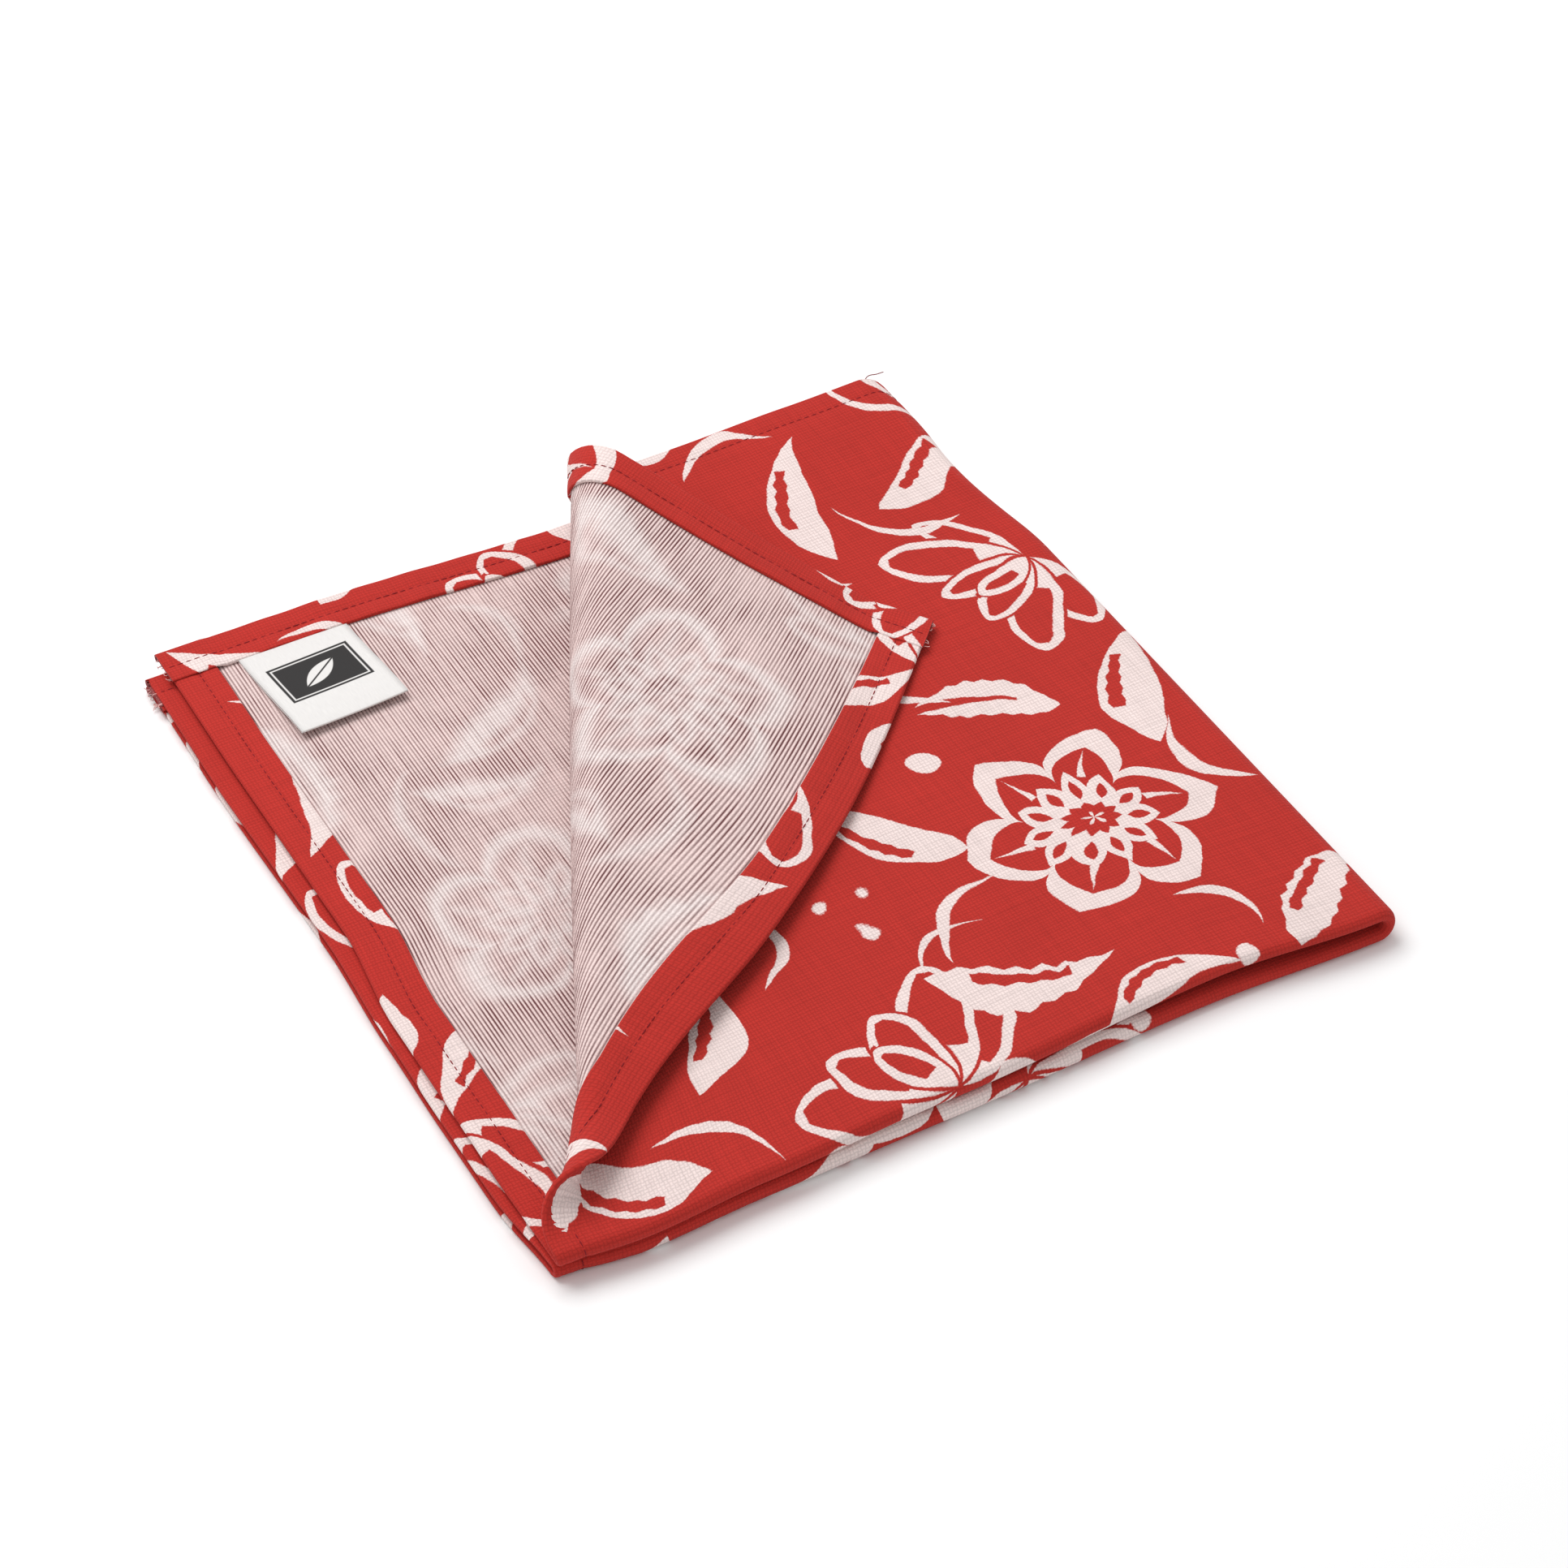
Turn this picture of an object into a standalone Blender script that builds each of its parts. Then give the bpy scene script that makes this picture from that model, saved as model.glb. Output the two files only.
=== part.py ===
"""A hemmed square napkin, folded in half and in half again, with its top corner rolled back.

The cloth starts as one flat square in the fold coordinates (a, b), in metres:
a runs across the second fold and b across the first, and both folds are at 0.
Its +Z side is the right side. fold_cloth() carries each point to its folded place,
and Solidify then gives the cloth its thickness towards the wrong side.
Layers, counted from the top: 1 is a > 0, b < 0; 2 is a > 0, b > 0;
3 is a < 0, b > 0; 4, on the table, is a < 0, b < 0.
In the folded plan x runs along the front fold and y runs back to the hemmed edges.
"""

import math

import bmesh
import bpy
import numpy as np

MM = 0.001

# The folded package
WIDTH = 256 * MM  # from the hemmed left edge to the outside of the second fold
DEPTH = 262 * MM  # from the first fold back to the hemmed edges
STACK = 10.8 * MM  # height of the top layer's right side
MIDDLE = 5.2 * MM  # height between the lower pair of layers and the upper pair
PAIR_BEND = 2.5 * MM  # radius of the first fold, outside
PAIR_GAP = 0.22 * MM  # half of the gap between the two pairs
PLAN_CENTRE = (126.8 * MM, 133.1 * MM)  # plan point that becomes the origin

# The cloth
CLOTH = 1.0 * MM
HEM_THICK = 2.0 * MM
HEM_WIDTH = 13.6 * MM
HEM_STEP = 0.8 * MM

# The corner of layer 1 that is rolled back
ROLL_START = -18.8 * MM  # where the roll's line would cross the left edge
ROLL_TURN = math.radians(28.55)  # the line's angle from the y axis
ROLL_RADIUS = 11.3 * MM  # of the right side, at the open end
ROLL_LENGTH = 360 * MM  # along the line, to where the radius is full
ROLL_LEAST = 0.1  # share of that length that sets the smallest radius
ROLL_FADE = 45 * MM  # the first fold holds the cloth flat within this distance
FLAP_SLOPE = math.radians(15.1)  # steepest fall of the flap
FLAP_BEND = 37 * MM  # radius with which it comes to rest
FLAP_REST = 1.0 * MM  # gap under it where it lies
FLAP_BOW = 12.4 * MM  # how far the middle of its free edge bows out
FLAP_BOW_DEPTH = 90 * MM
FLAP_BOW_START = 3  # radii of the roll, past its line
FLAP_BOW_RUN = 36 * MM

# The label
LABEL_WIDTH = 34 * MM
LABEL_LENGTH = 36 * MM
LABEL_CORNER = (26.0 * MM, 247.9 * MM)  # plan place of its left corner, at the hem
LABEL_PLY = 1.0 * MM
LABEL_GAP = 0.35 * MM
LABEL_LIFT = 1.2 * MM  # how far its free end rises
LABEL_TURN = math.radians(3.2)
CLEARANCE = 0.35 * MM

# How unevenly the edges lie, in millimetres. Each row is one place along the edge.
FRONT_EDGE = (
    dict(x=0, lower=0, upper=-1.5),
    dict(x=25, lower=-3, upper=-3.4),
    dict(x=60, lower=-1.5, upper=-1.5),
    dict(x=112, lower=-0.7, upper=0.7),
    dict(x=200, lower=2, upper=4.5),
    dict(x=250, lower=0, upper=0.5),
)
LEFT_EDGE = (
    dict(y=0, lower=0, second=0.5),
    dict(y=30, lower=-2.5, second=0.2),
    dict(y=60, lower=-2.4, second=0.6),
    dict(y=95, lower=-1.8, second=1),
    dict(y=135, lower=-0.2, second=4.7),
    dict(y=200, lower=-0.8, second=5),
    dict(y=262, lower=0.3, second=6),
)
RIGHT_FOLD = (
    dict(y=0, shift=0),
    dict(y=180, shift=0),
    dict(y=235, shift=-7),
    dict(y=270, shift=-9),
)
BACK_EDGE = (
    dict(x=50, lower=-3, second=3),
    dict(x=140, lower=-3, second=-1),
)
BACK_RISE = (  # how far layer 1's back hem stands up
    dict(x=120, rise=3.2),
    dict(x=175, rise=4.2),
    dict(x=215, rise=5.5),
    dict(x=250, rise=6.5),
)
TOP_LEFT_SHIFT = 10.4 * MM  # layer 1's left hem lies this far in
TOP_BACK_SHIFT = 7 * MM  # its back hem lies this far back
FRONT_FADE = 110 * MM  # how far in from each edge its unevenness reaches
LEFT_FADE = 120 * MM
RIGHT_FADE = 90 * MM
TOP_LEFT_RUN = 45 * MM
BACK_RISE_START = 195 * MM
BACK_RISE_RUN = 75 * MM
FRONT_DIP = 0.3 * MM  # how far the stack sinks at its front left corner
FRONT_DIP_SIZE = (120 * MM, 150 * MM)
CORNER_MOUTH = 1.3 * MM  # how far the pairs part at the front right corner
CORNER_MOUTH_START = 150 * MM
CORNER_MOUTH_SIZE = (90 * MM, 60 * MM)

# Where the flat cloth is cut into faces
BEND_STEPS = 8
FLAT_LINES = (20 * MM, 55 * MM, 95 * MM, 140 * MM, 185 * MM, 225 * MM)
ROLL_RAYS = tuple(0.016 * step for step in range(1, 17)) + (0.33, 0.42, 0.5)
ROLL_STATIONS = tuple(value * MM for value in (15, 35, 60, 90, 130, 170, 210, 250, 290))
CORNER_LINES = tuple(value * MM for value in (6.5, 9.5, 13, 17, 24, 32, 43))
CORNER_SIZE = 60 * MM
LABEL_STEPS = 6
LABEL_TURN_STEPS = 6
TOLERANCE = 0.1 * MM
LEAST = 0.001  # keeps a divisor off 0

HALF_A = WIDTH - STACK / 2 + math.pi / 2 * STACK / 2
HALF_B = DEPTH - PAIR_BEND + math.pi / 2 * PAIR_BEND

ALONG_ROLL = np.array([math.sin(ROLL_TURN), math.cos(ROLL_TURN)])
ACROSS_ROLL = np.array([math.cos(ROLL_TURN), -math.sin(ROLL_TURN)])


def ease(value):
    """0 below 0, 1 above 1, and a smooth step between."""
    value = np.clip(value, 0.0, 1.0)
    return value * value * (3.0 - 2.0 * value)


def row_value(rows, key, column, at):
    """A column of one of the tables above, eased from row to row, in metres."""
    keys = np.array([row[key] for row in rows], float) * MM
    values = np.array([row[column] for row in rows], float) * MM
    low = np.clip(np.searchsorted(keys, at) - 1, 0, len(keys) - 2)
    part = ease((at - keys[low]) / (keys[low + 1] - keys[low]))
    return values[low] * (1.0 - part) + values[low + 1] * part


def top_height(x, y):
    """Height of layer 1's right side above the table where it isn't rolled."""
    rise = ease((y - BACK_RISE_START) / BACK_RISE_RUN) * row_value(BACK_RISE, "x", "rise", x)
    dip = (1.0 - ease(x / FRONT_DIP_SIZE[0])) * (1.0 - ease(y / FRONT_DIP_SIZE[1]))
    return STACK + rise - FRONT_DIP * dip


def half_gap(x, y):
    """Half of the gap between the lower pair and the upper pair."""
    near = 1.0 - ease(y / CORNER_MOUTH_SIZE[1])
    return PAIR_GAP + CORNER_MOUTH * near * ease((x - CORNER_MOUTH_START) / CORNER_MOUTH_SIZE[0])


def roll_radius(along):
    """Radius of the rolled corner's right side, which opens along the roll."""
    part = np.clip(along / ROLL_LENGTH, ROLL_LEAST, 1.0)
    return ROLL_RADIUS * part * (2.0 - part)


def roll_section(length, radius):
    """(across, up) of a point this far round the roll's section: up, over and down to rest."""
    turned = radius * (math.pi + FLAP_SLOPE)
    fall = 2 * radius - FLAP_REST - (radius + FLAP_BEND) * (1 - math.cos(FLAP_SLOPE))
    slope = np.maximum(fall / math.sin(FLAP_SLOPE), 0.0)
    angle = np.clip(length, 0.0, turned) / radius
    across = -radius * np.sin(angle)
    up = radius * (1.0 - np.cos(angle))
    down = np.clip(length - turned, 0.0, slope)
    across += down * math.cos(FLAP_SLOPE)
    up -= down * math.sin(FLAP_SLOPE)
    rest = np.clip(length - turned - slope, 0.0, FLAP_BEND * FLAP_SLOPE) / FLAP_BEND
    across += FLAP_BEND * (math.sin(FLAP_SLOPE) - np.sin(FLAP_SLOPE - rest))
    up -= FLAP_BEND * (np.cos(FLAP_SLOPE - rest) - math.cos(FLAP_SLOPE))
    across += np.maximum(length - turned - slope - FLAP_BEND * FLAP_SLOPE, 0.0)
    return across, up


def roll_back(x, y, hem_distance):
    """Carries layer 1's points past the roll's line over it. Returns x, y and the height gained."""
    along = x * ALONG_ROLL[0] + (y - ROLL_START) * ALONG_ROLL[1]
    past = -(x * ACROSS_ROLL[0] + (y - ROLL_START) * ACROSS_ROLL[1])
    radius = roll_radius(along) / np.maximum(ease(y / ROLL_FADE), LEAST)
    across, up = roll_section(np.maximum(past, 0.0), radius)
    run = DEPTH + TOP_BACK_SHIFT - ROLL_FADE
    middle = np.sin(math.pi * np.clip((y - ROLL_FADE) / run, 0.0, 1.0))
    free = np.clip(1.0 - hem_distance / FLAP_BOW_DEPTH, 0.0, 1.0)
    across += FLAP_BOW * free * middle * ease((past - FLAP_BOW_START * radius) / FLAP_BOW_RUN)
    rolled_x = along * ALONG_ROLL[0] + across * ACROSS_ROLL[0]
    rolled_y = ROLL_START + along * ALONG_ROLL[1] + across * ACROSS_ROLL[1]
    rolls = past > 0.0
    return np.where(rolls, rolled_x, x), np.where(rolls, rolled_y, y), np.where(rolls, up, 0.0)


def fold_cloth(a, b):
    """Folded places, as an array of (x, y, z) rows, of flat points (a, b) of the right side."""
    first = np.clip(b / PAIR_BEND, -math.pi / 2, math.pi / 2)
    inner = (1.0 + np.sin(first)) / 2.0  # 0 on layers 1 and 4, 1 on layers 2 and 3
    y = PAIR_BEND * (1.0 - np.cos(first)) + np.maximum(abs(b) - math.pi / 2 * PAIR_BEND, 0.0)

    second = np.clip(a / (STACK / 2), -math.pi / 2, math.pi / 2)
    upper = (1.0 + np.sin(second)) / 2.0  # 0 on layers 3 and 4, 1 on layers 1 and 2
    from_fold = np.maximum(abs(a) - math.pi / 2 * STACK / 2, 0.0)
    x = WIDTH - STACK / 2 - from_fold

    upper_back = inner * row_value(BACK_EDGE, "x", "second", x) + (1.0 - inner) * TOP_BACK_SHIFT
    back = (1.0 - upper) * row_value(BACK_EDGE, "x", "lower", x) + upper * upper_back
    y = y + back * np.clip(y / DEPTH, 0.0, 1.0)
    lower_front = row_value(FRONT_EDGE, "x", "lower", x)
    upper_front = row_value(FRONT_EDGE, "x", "upper", x)
    front = (1.0 - upper) * lower_front + upper * upper_front
    y = y + front * (1.0 - ease(y / FRONT_FADE))

    top_left = TOP_LEFT_SHIFT * ease(y / TOP_LEFT_RUN)
    upper_left = inner * row_value(LEFT_EDGE, "y", "second", y) + (1.0 - inner) * top_left
    left = (1.0 - upper) * row_value(LEFT_EDGE, "y", "lower", y) + upper * upper_left
    x = x + left * (1.0 - ease(x / LEFT_FADE))
    x = x + row_value(RIGHT_FOLD, "y", "shift", y) * (1.0 - ease(from_fold / RIGHT_FADE))

    height = top_height(x, y)
    middle = (1.0 - inner) * height / 2 + inner * MIDDLE
    radius = (1.0 - inner) * height / 2 + inner * half_gap(x, y)
    x = x + radius * np.cos(second)
    z = middle + radius * np.sin(second)

    rolled_x, rolled_y, up = roll_back(x, y, HALF_A - abs(a))
    rolls = (a > 0.0) & (b < 0.0) & (up > 0.0)
    carried = z - height + top_height(rolled_x, rolled_y) + up
    x = np.where(rolls, rolled_x, x)
    y = np.where(rolls, rolled_y, y)
    z = np.where(rolls, carried, z)
    return np.stack([x - PLAN_CENTRE[0], y - PLAN_CENTRE[1], z], axis=-1)


def cut(flat, point, normal, keep=None):
    """Cuts the flat cloth's faces along a straight line, or only those whose centres pass keep()."""
    faces = [face for face in flat.faces if keep is None or keep(face.calc_center_median())]
    edges = {edge for face in faces for edge in face.edges}
    verts = {vert for face in faces for vert in face.verts}
    bmesh.ops.bisect_plane(
        flat,
        geom=[*verts, *edges, *faces],
        dist=1e-6,
        plane_co=(*point, 0.0),
        plane_no=(*normal, 0.0),
    )


def straight_lines(half, bend):
    """Distances from one fold at which the whole cloth is cut."""
    turns = [bend * math.pi / 2 * step / (BEND_STEPS / 2) for step in range(BEND_STEPS // 2 + 1)]
    hem = [half - HEM_WIDTH, half - HEM_WIDTH - HEM_STEP]
    return [*turns, *FLAT_LINES, *hem]


def flat_cloth():
    """The flat square, cut into faces where the folds and the roll will bend it."""
    flat = bmesh.new()
    bmesh.ops.create_grid(flat, x_segments=1, y_segments=1, size=0.5)
    bmesh.ops.scale(flat, vec=(2 * HALF_A, 2 * HALF_B, 1), verts=flat.verts)
    for side in (-1, 1):
        for distance in straight_lines(HALF_A, STACK / 2):
            cut(flat, (side * distance, 0), (1, 0))
        for distance in straight_lines(HALF_B, PAIR_BEND):
            cut(flat, (0, side * distance), (0, 1))

    # In layer 1, x = HALF_A - a and y = -b, so the roll's line and its rays are straight there.
    def in_corner(centre):
        return centre.x > math.pi / 2 * STACK / 2 and centre.y < 0

    def near_first_fold(centre):
        return in_corner(centre) and centre.x > HALF_A - CORNER_SIZE and centre.y > -CORNER_SIZE

    for distance in CORNER_LINES:
        cut(flat, (0, -distance), (0, 1), near_first_fold)

    start = np.array([HALF_A, -ROLL_START])
    along = np.array([-ALONG_ROLL[0], -ALONG_ROLL[1]])
    away = np.array([ACROSS_ROLL[0], ACROSS_ROLL[1]])
    for slope in (0.0, *ROLL_RAYS):
        ray = along + slope * away
        cut(flat, start, (ray[1], -ray[0]), in_corner)
    for distance in ROLL_STATIONS:
        cut(flat, start + distance * along, along, in_corner)
    bmesh.ops.triangulate(flat, faces=flat.faces)
    return flat


def make_material(name, colour, roughness):
    material = bpy.data.materials.new(name)
    material.use_nodes = True
    shader = material.node_tree.nodes["Principled BSDF"]
    shader.inputs["Base Color"].default_value = (*colour, 1.0)
    shader.inputs["Roughness"].default_value = roughness
    shader.inputs["Metallic"].default_value = 0.0
    return material


def add_object(name, mesh, material, collection):
    mesh.materials.append(material)
    thing = bpy.data.objects.new(name, mesh)
    collection.objects.link(thing)
    return thing


def make_napkin(collection):
    """The whole cloth, hems and all, as one sheet with thickness."""
    flat = flat_cloth()
    points = np.array([vert.co[:2] for vert in flat.verts])
    inside = np.minimum(HALF_A - abs(points[:, 0]), HALF_B - abs(points[:, 1]))
    in_hem = np.flatnonzero(inside < HEM_WIDTH + TOLERANCE).tolist()
    for vert, place in zip(flat.verts, fold_cloth(points[:, 0], points[:, 1])):
        vert.co = place
    mesh = bpy.data.meshes.new("napkin")
    flat.to_mesh(mesh)
    flat.free()
    cloth = make_material("printed cotton", (0.5, 0.035, 0.035), 0.85)
    napkin = add_object("napkin", mesh, cloth, collection)
    napkin.vertex_groups.new(name="hem").add(in_hem, 1.0, "REPLACE")
    wall = napkin.modifiers.new("Thickness", "SOLIDIFY")
    wall.thickness = HEM_THICK
    wall.vertex_group = "hem"
    wall.thickness_vertex_group = CLOTH / HEM_THICK
    wall.offset = -1.0
    wall.use_even_offset = False
    return napkin


def label_section():
    """(distance out from the hem, height) points of the label's middle line: out, round and back."""
    low = LABEL_PLY / 2
    bend = (LABEL_PLY + LABEL_GAP) / 2
    reach = LABEL_LENGTH - bend - LABEL_PLY / 2
    runs = [reach * step / LABEL_STEPS for step in range(LABEL_STEPS + 1)]
    rise = [LABEL_LIFT * (run / reach) ** 2 for run in runs]
    lower = [(run, low + up) for run, up in zip(runs, rise)]
    turn = [math.pi * (step / LABEL_TURN_STEPS - 0.5) for step in range(1, LABEL_TURN_STEPS)]
    middle = low + LABEL_LIFT + bend
    round_end = [(reach + bend * math.cos(t), middle + bend * math.sin(t)) for t in turn]
    upper = [(run, low + up + 2 * bend) for run, up in zip(runs, rise)]
    return lower + round_end + upper[::-1]


def make_label(collection):
    """A folded tape sewn under layer 2's back hem, lying on the wrong side of the cloth."""
    section = label_section()
    strip = bmesh.new()
    rows = []
    for side in (0.0, LABEL_WIDTH):
        rows.append([strip.verts.new((side, -run, up)) for run, up in section])
    for index in range(len(section) - 1):
        near = rows[0][index], rows[0][index + 1]
        far = rows[1][index + 1], rows[1][index]
        strip.faces.new((*near, *far))
    mesh = bpy.data.meshes.new("label")
    strip.to_mesh(mesh)
    strip.free()
    tape = make_material("white tape", (0.8, 0.79, 0.77), 0.5)
    label = add_object("label", mesh, tape, collection)
    wall = label.modifiers.new("Thickness", "SOLIDIFY")
    wall.thickness = LABEL_PLY
    wall.offset = 0.0
    wall.use_even_offset = True
    label.location = (
        LABEL_CORNER[0] - PLAN_CENTRE[0],
        LABEL_CORNER[1] - PLAN_CENTRE[1],
        MIDDLE + PAIR_GAP + CLOTH + CLEARANCE,
    )
    label.rotation_euler = (0, 0, LABEL_TURN)
    return label


def main():
    for thing in list(bpy.data.objects):
        bpy.data.objects.remove(thing, do_unlink=True)
    collection = bpy.data.collections.new("folded napkin")
    bpy.context.scene.collection.children.link(collection)
    make_napkin(collection)
    make_label(collection)


main()
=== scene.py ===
"""A square printed cotton napkin with hems, folded in quarters, its top corner rolled back.

The cloth is one flat square in the fold coordinates (a, b), in metres: a runs across the
second fold, b across the first, and both folds are at 0. fold_cloth() carries a point of the
right side to its folded place, and place() adds a depth below it, towards the wrong side.
Layers, counted from the top: 1 is a > 0, b < 0; 2 is a > 0, b > 0; 3 is a < 0, b > 0;
4, on the table, is a < 0, b < 0. The UV map "flat" holds the same place in the cut cloth.
"""

import math

import bpy
import numpy as np
from bpy.props import FloatProperty, FloatVectorProperty, IntProperty, PointerProperty
from mathutils import Matrix, Vector


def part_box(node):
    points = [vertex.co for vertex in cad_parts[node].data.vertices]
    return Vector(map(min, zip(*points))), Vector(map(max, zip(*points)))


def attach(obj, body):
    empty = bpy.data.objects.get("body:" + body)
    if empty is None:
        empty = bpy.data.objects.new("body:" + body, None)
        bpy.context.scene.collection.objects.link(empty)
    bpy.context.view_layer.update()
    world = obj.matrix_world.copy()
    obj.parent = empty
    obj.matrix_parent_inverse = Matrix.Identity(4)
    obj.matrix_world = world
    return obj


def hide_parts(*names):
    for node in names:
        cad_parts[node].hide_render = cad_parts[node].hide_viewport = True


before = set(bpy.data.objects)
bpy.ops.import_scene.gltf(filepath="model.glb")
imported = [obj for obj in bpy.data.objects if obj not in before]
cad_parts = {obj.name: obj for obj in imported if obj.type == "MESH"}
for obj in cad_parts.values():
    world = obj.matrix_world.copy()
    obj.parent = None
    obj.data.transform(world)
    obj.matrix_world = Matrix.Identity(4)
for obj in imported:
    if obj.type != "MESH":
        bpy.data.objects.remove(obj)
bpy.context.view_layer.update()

bl_info = {
    "name": "Folded cloth napkin",
    "version": (1, 0, 0),
    "blender": (4, 5, 0),
    "location": "3D View > Sidebar > Napkin",
    "description": "Makes a printed cotton napkin, folded in quarters, around its packed frame",
    "category": "Object",
}

MM = 0.001
BODY = "root"

# The folded package, as in the frame
WIDTH = 256 * MM
DEPTH = 262 * MM
STACK = 10.8 * MM
MIDDLE = 5.2 * MM
PAIR_BEND = 2.5 * MM
PAIR_GAP = 0.22 * MM
PLAN_CENTRE = (126.8 * MM, 133.1 * MM)

# The corner of layer 1 that is rolled back
ROLL_START = -18.8 * MM
ROLL_TURN = math.radians(28.55)
ROLL_RADIUS = 11.3 * MM
ROLL_LENGTH = 360 * MM
ROLL_LEAST = 0.1
ROLL_FADE = 45 * MM
FLAP_SLOPE = math.radians(15.1)
FLAP_BEND = 37 * MM
FLAP_REST = 1.0 * MM
FLAP_BOW = 12.4 * MM
FLAP_BOW_DEPTH = 90 * MM
FLAP_BOW_START = 3
FLAP_BOW_RUN = 36 * MM


def table(columns, *rows):
    return [dict(zip(columns.split(), row)) for row in rows]


# How unevenly the edges lie, in millimetres. Each row is one place along the edge.
FRONT_EDGE = table(
    "x lower upper",
    (0, 0, -1.5),
    (25, -3, -3.4),
    (60, -1.5, -1.5),
    (112, -0.7, 0.7),
    (200, 2, 4.5),
    (250, 0, 0.5),
)
LEFT_EDGE = table(
    "y lower second",
    (0, 0, 0.5),
    (30, -2.5, 0.2),
    (60, -2.4, 0.6),
    (95, -1.8, 1),
    (135, -0.2, 4.7),
    (200, -0.8, 5),
    (262, 0.3, 6),
)
RIGHT_FOLD = table("y shift", (0, 0), (180, 0), (235, -7), (270, -9))
BACK_EDGE = table("x lower second", (50, -3, 3), (140, -3, -1))
BACK_RISE = table("x rise", (120, 3.2), (175, 4.2), (215, 5.5), (250, 6.5))
TOP_LEFT_SHIFT = 10.4 * MM
TOP_BACK_SHIFT = 7 * MM
FRONT_FADE = 110 * MM
LEFT_FADE = 120 * MM
RIGHT_FADE = 90 * MM
TOP_LEFT_RUN = 45 * MM
BACK_RISE_START = 195 * MM
BACK_RISE_RUN = 75 * MM
FRONT_DIP = 0.3 * MM
FRONT_DIP_SIZE = (120 * MM, 150 * MM)
CORNER_MOUTH = 1.3 * MM
CORNER_MOUTH_START = 150 * MM
CORNER_MOUTH_SIZE = (90 * MM, 60 * MM)
LEAST_FADE = 0.001

HALF_A = WIDTH - STACK / 2 + math.pi / 2 * STACK / 2
HALF_B = DEPTH - PAIR_BEND + math.pi / 2 * PAIR_BEND
ALONG_ROLL = np.array([math.sin(ROLL_TURN), math.cos(ROLL_TURN)])
ACROSS_ROLL = np.array([math.cos(ROLL_TURN), -math.sin(ROLL_TURN)])

# How finely the flat cloth is cut, out from each fold, in millimetres
CUTS = {
    "upper": (dict(to=9, pitch=1.2), dict(to=195, pitch=2.7), dict(to=244, pitch=1.4)),
    "lower": (dict(to=9, pitch=1.2), dict(to=244, pitch=8)),
    "top": (dict(to=4, pitch=0.6), dict(to=75, pitch=1.7), dict(to=248, pitch=2.7)),
    "inner": (dict(to=4, pitch=0.6), dict(to=248, pitch=5)),
}
HEM_PITCH = 1.1

# The hems. The last ones lap over the ends of the others, and climb onto them over LAP_RUN.
LAP_RUN = 3 * MM
LAP_RISE = 0.9
LAP_GAP = 0.1 * MM
DENT_BEHIND = 1.3
RIPPLES = (dict(size=1.0, rate=2 * math.pi, start=0.0), dict(size=0.6, rate=3.7, start=1.3))
MOUTH_RIM = 0.55
MOUTH_FLOOR = 0.45
SEAM_END = 1.5 * MM
SEAM_STEP = 1.0 * MM

# The label, whose corner is the left end of its line at the hem
LABEL_CORNER = (26.0 * MM, 247.9 * MM)
LABEL_TURN = math.radians(3.2)
LABEL_TUCK = 6 * MM
LABEL_GAP = 0.1 * MM
LABEL_SWELL = 0.35 * MM
LABEL_CUP = 0.35 * MM
MARK_LINE = dict(inset=1.1 * MM, half=0.25 * MM)
MARK_LEAF = dict(half_length=7.5 * MM, half_width=2.9 * MM, half_vein=0.3 * MM)
MARK_LEAF_TURN = math.radians(35)
MARK_BLUR = 0.25 * MM

# The frayed ends at the corners and the thread tail at the back, in millimetres, but for the
# depth, which is a share of the hem's thickness
FRAY_STRANDS = 7
FRAY_DEPTH = (0.3, 1.1)
FRAY_INWARD = (1.5, 12.0)
FRAY_REACH = (0.6, 2.2)
FRAY_STRAY = 0.9
FRAY_RADIUS = 0.11
FRAY_COLOUR = (0.72, 0.42, 0.40)
TAIL_START = (8.0, 0.5)
TAIL_STEPS = ((0, -1, -0.6), (2.4, 0.3, 0), (4.6, -0.6, 0.4), (7.4, -0.2, 0))
TAIL_RADIUS = 0.16

# The stage, in metres
FLOOR_HALF = 6.0
FLOOR_DROP = 0.2 * MM
FLOOR_GREY = 0.92
SOFTBOX_SIZE = (1.2, 0.9)
SOFTBOX_PLACE = (-0.22, 0.62, 1.26)
AIM_FROM_MIDDLE = (14 * MM, 2 * MM)


def motifs(columns, *rows):
    """Rows of the floral print: across from the left hem and up from the first fold, in
    millimetres, turn in degrees anticlockwise, size in millimetres, then the named columns."""
    made = []
    for across, up, turn, size, *own in rows:
        row = dict(zip(columns.split(), own))
        row.update(centre=(across * MM, up * MM, 0.0), turn=math.radians(turn), size=size * MM)
        made.append(row)
    return made


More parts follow.
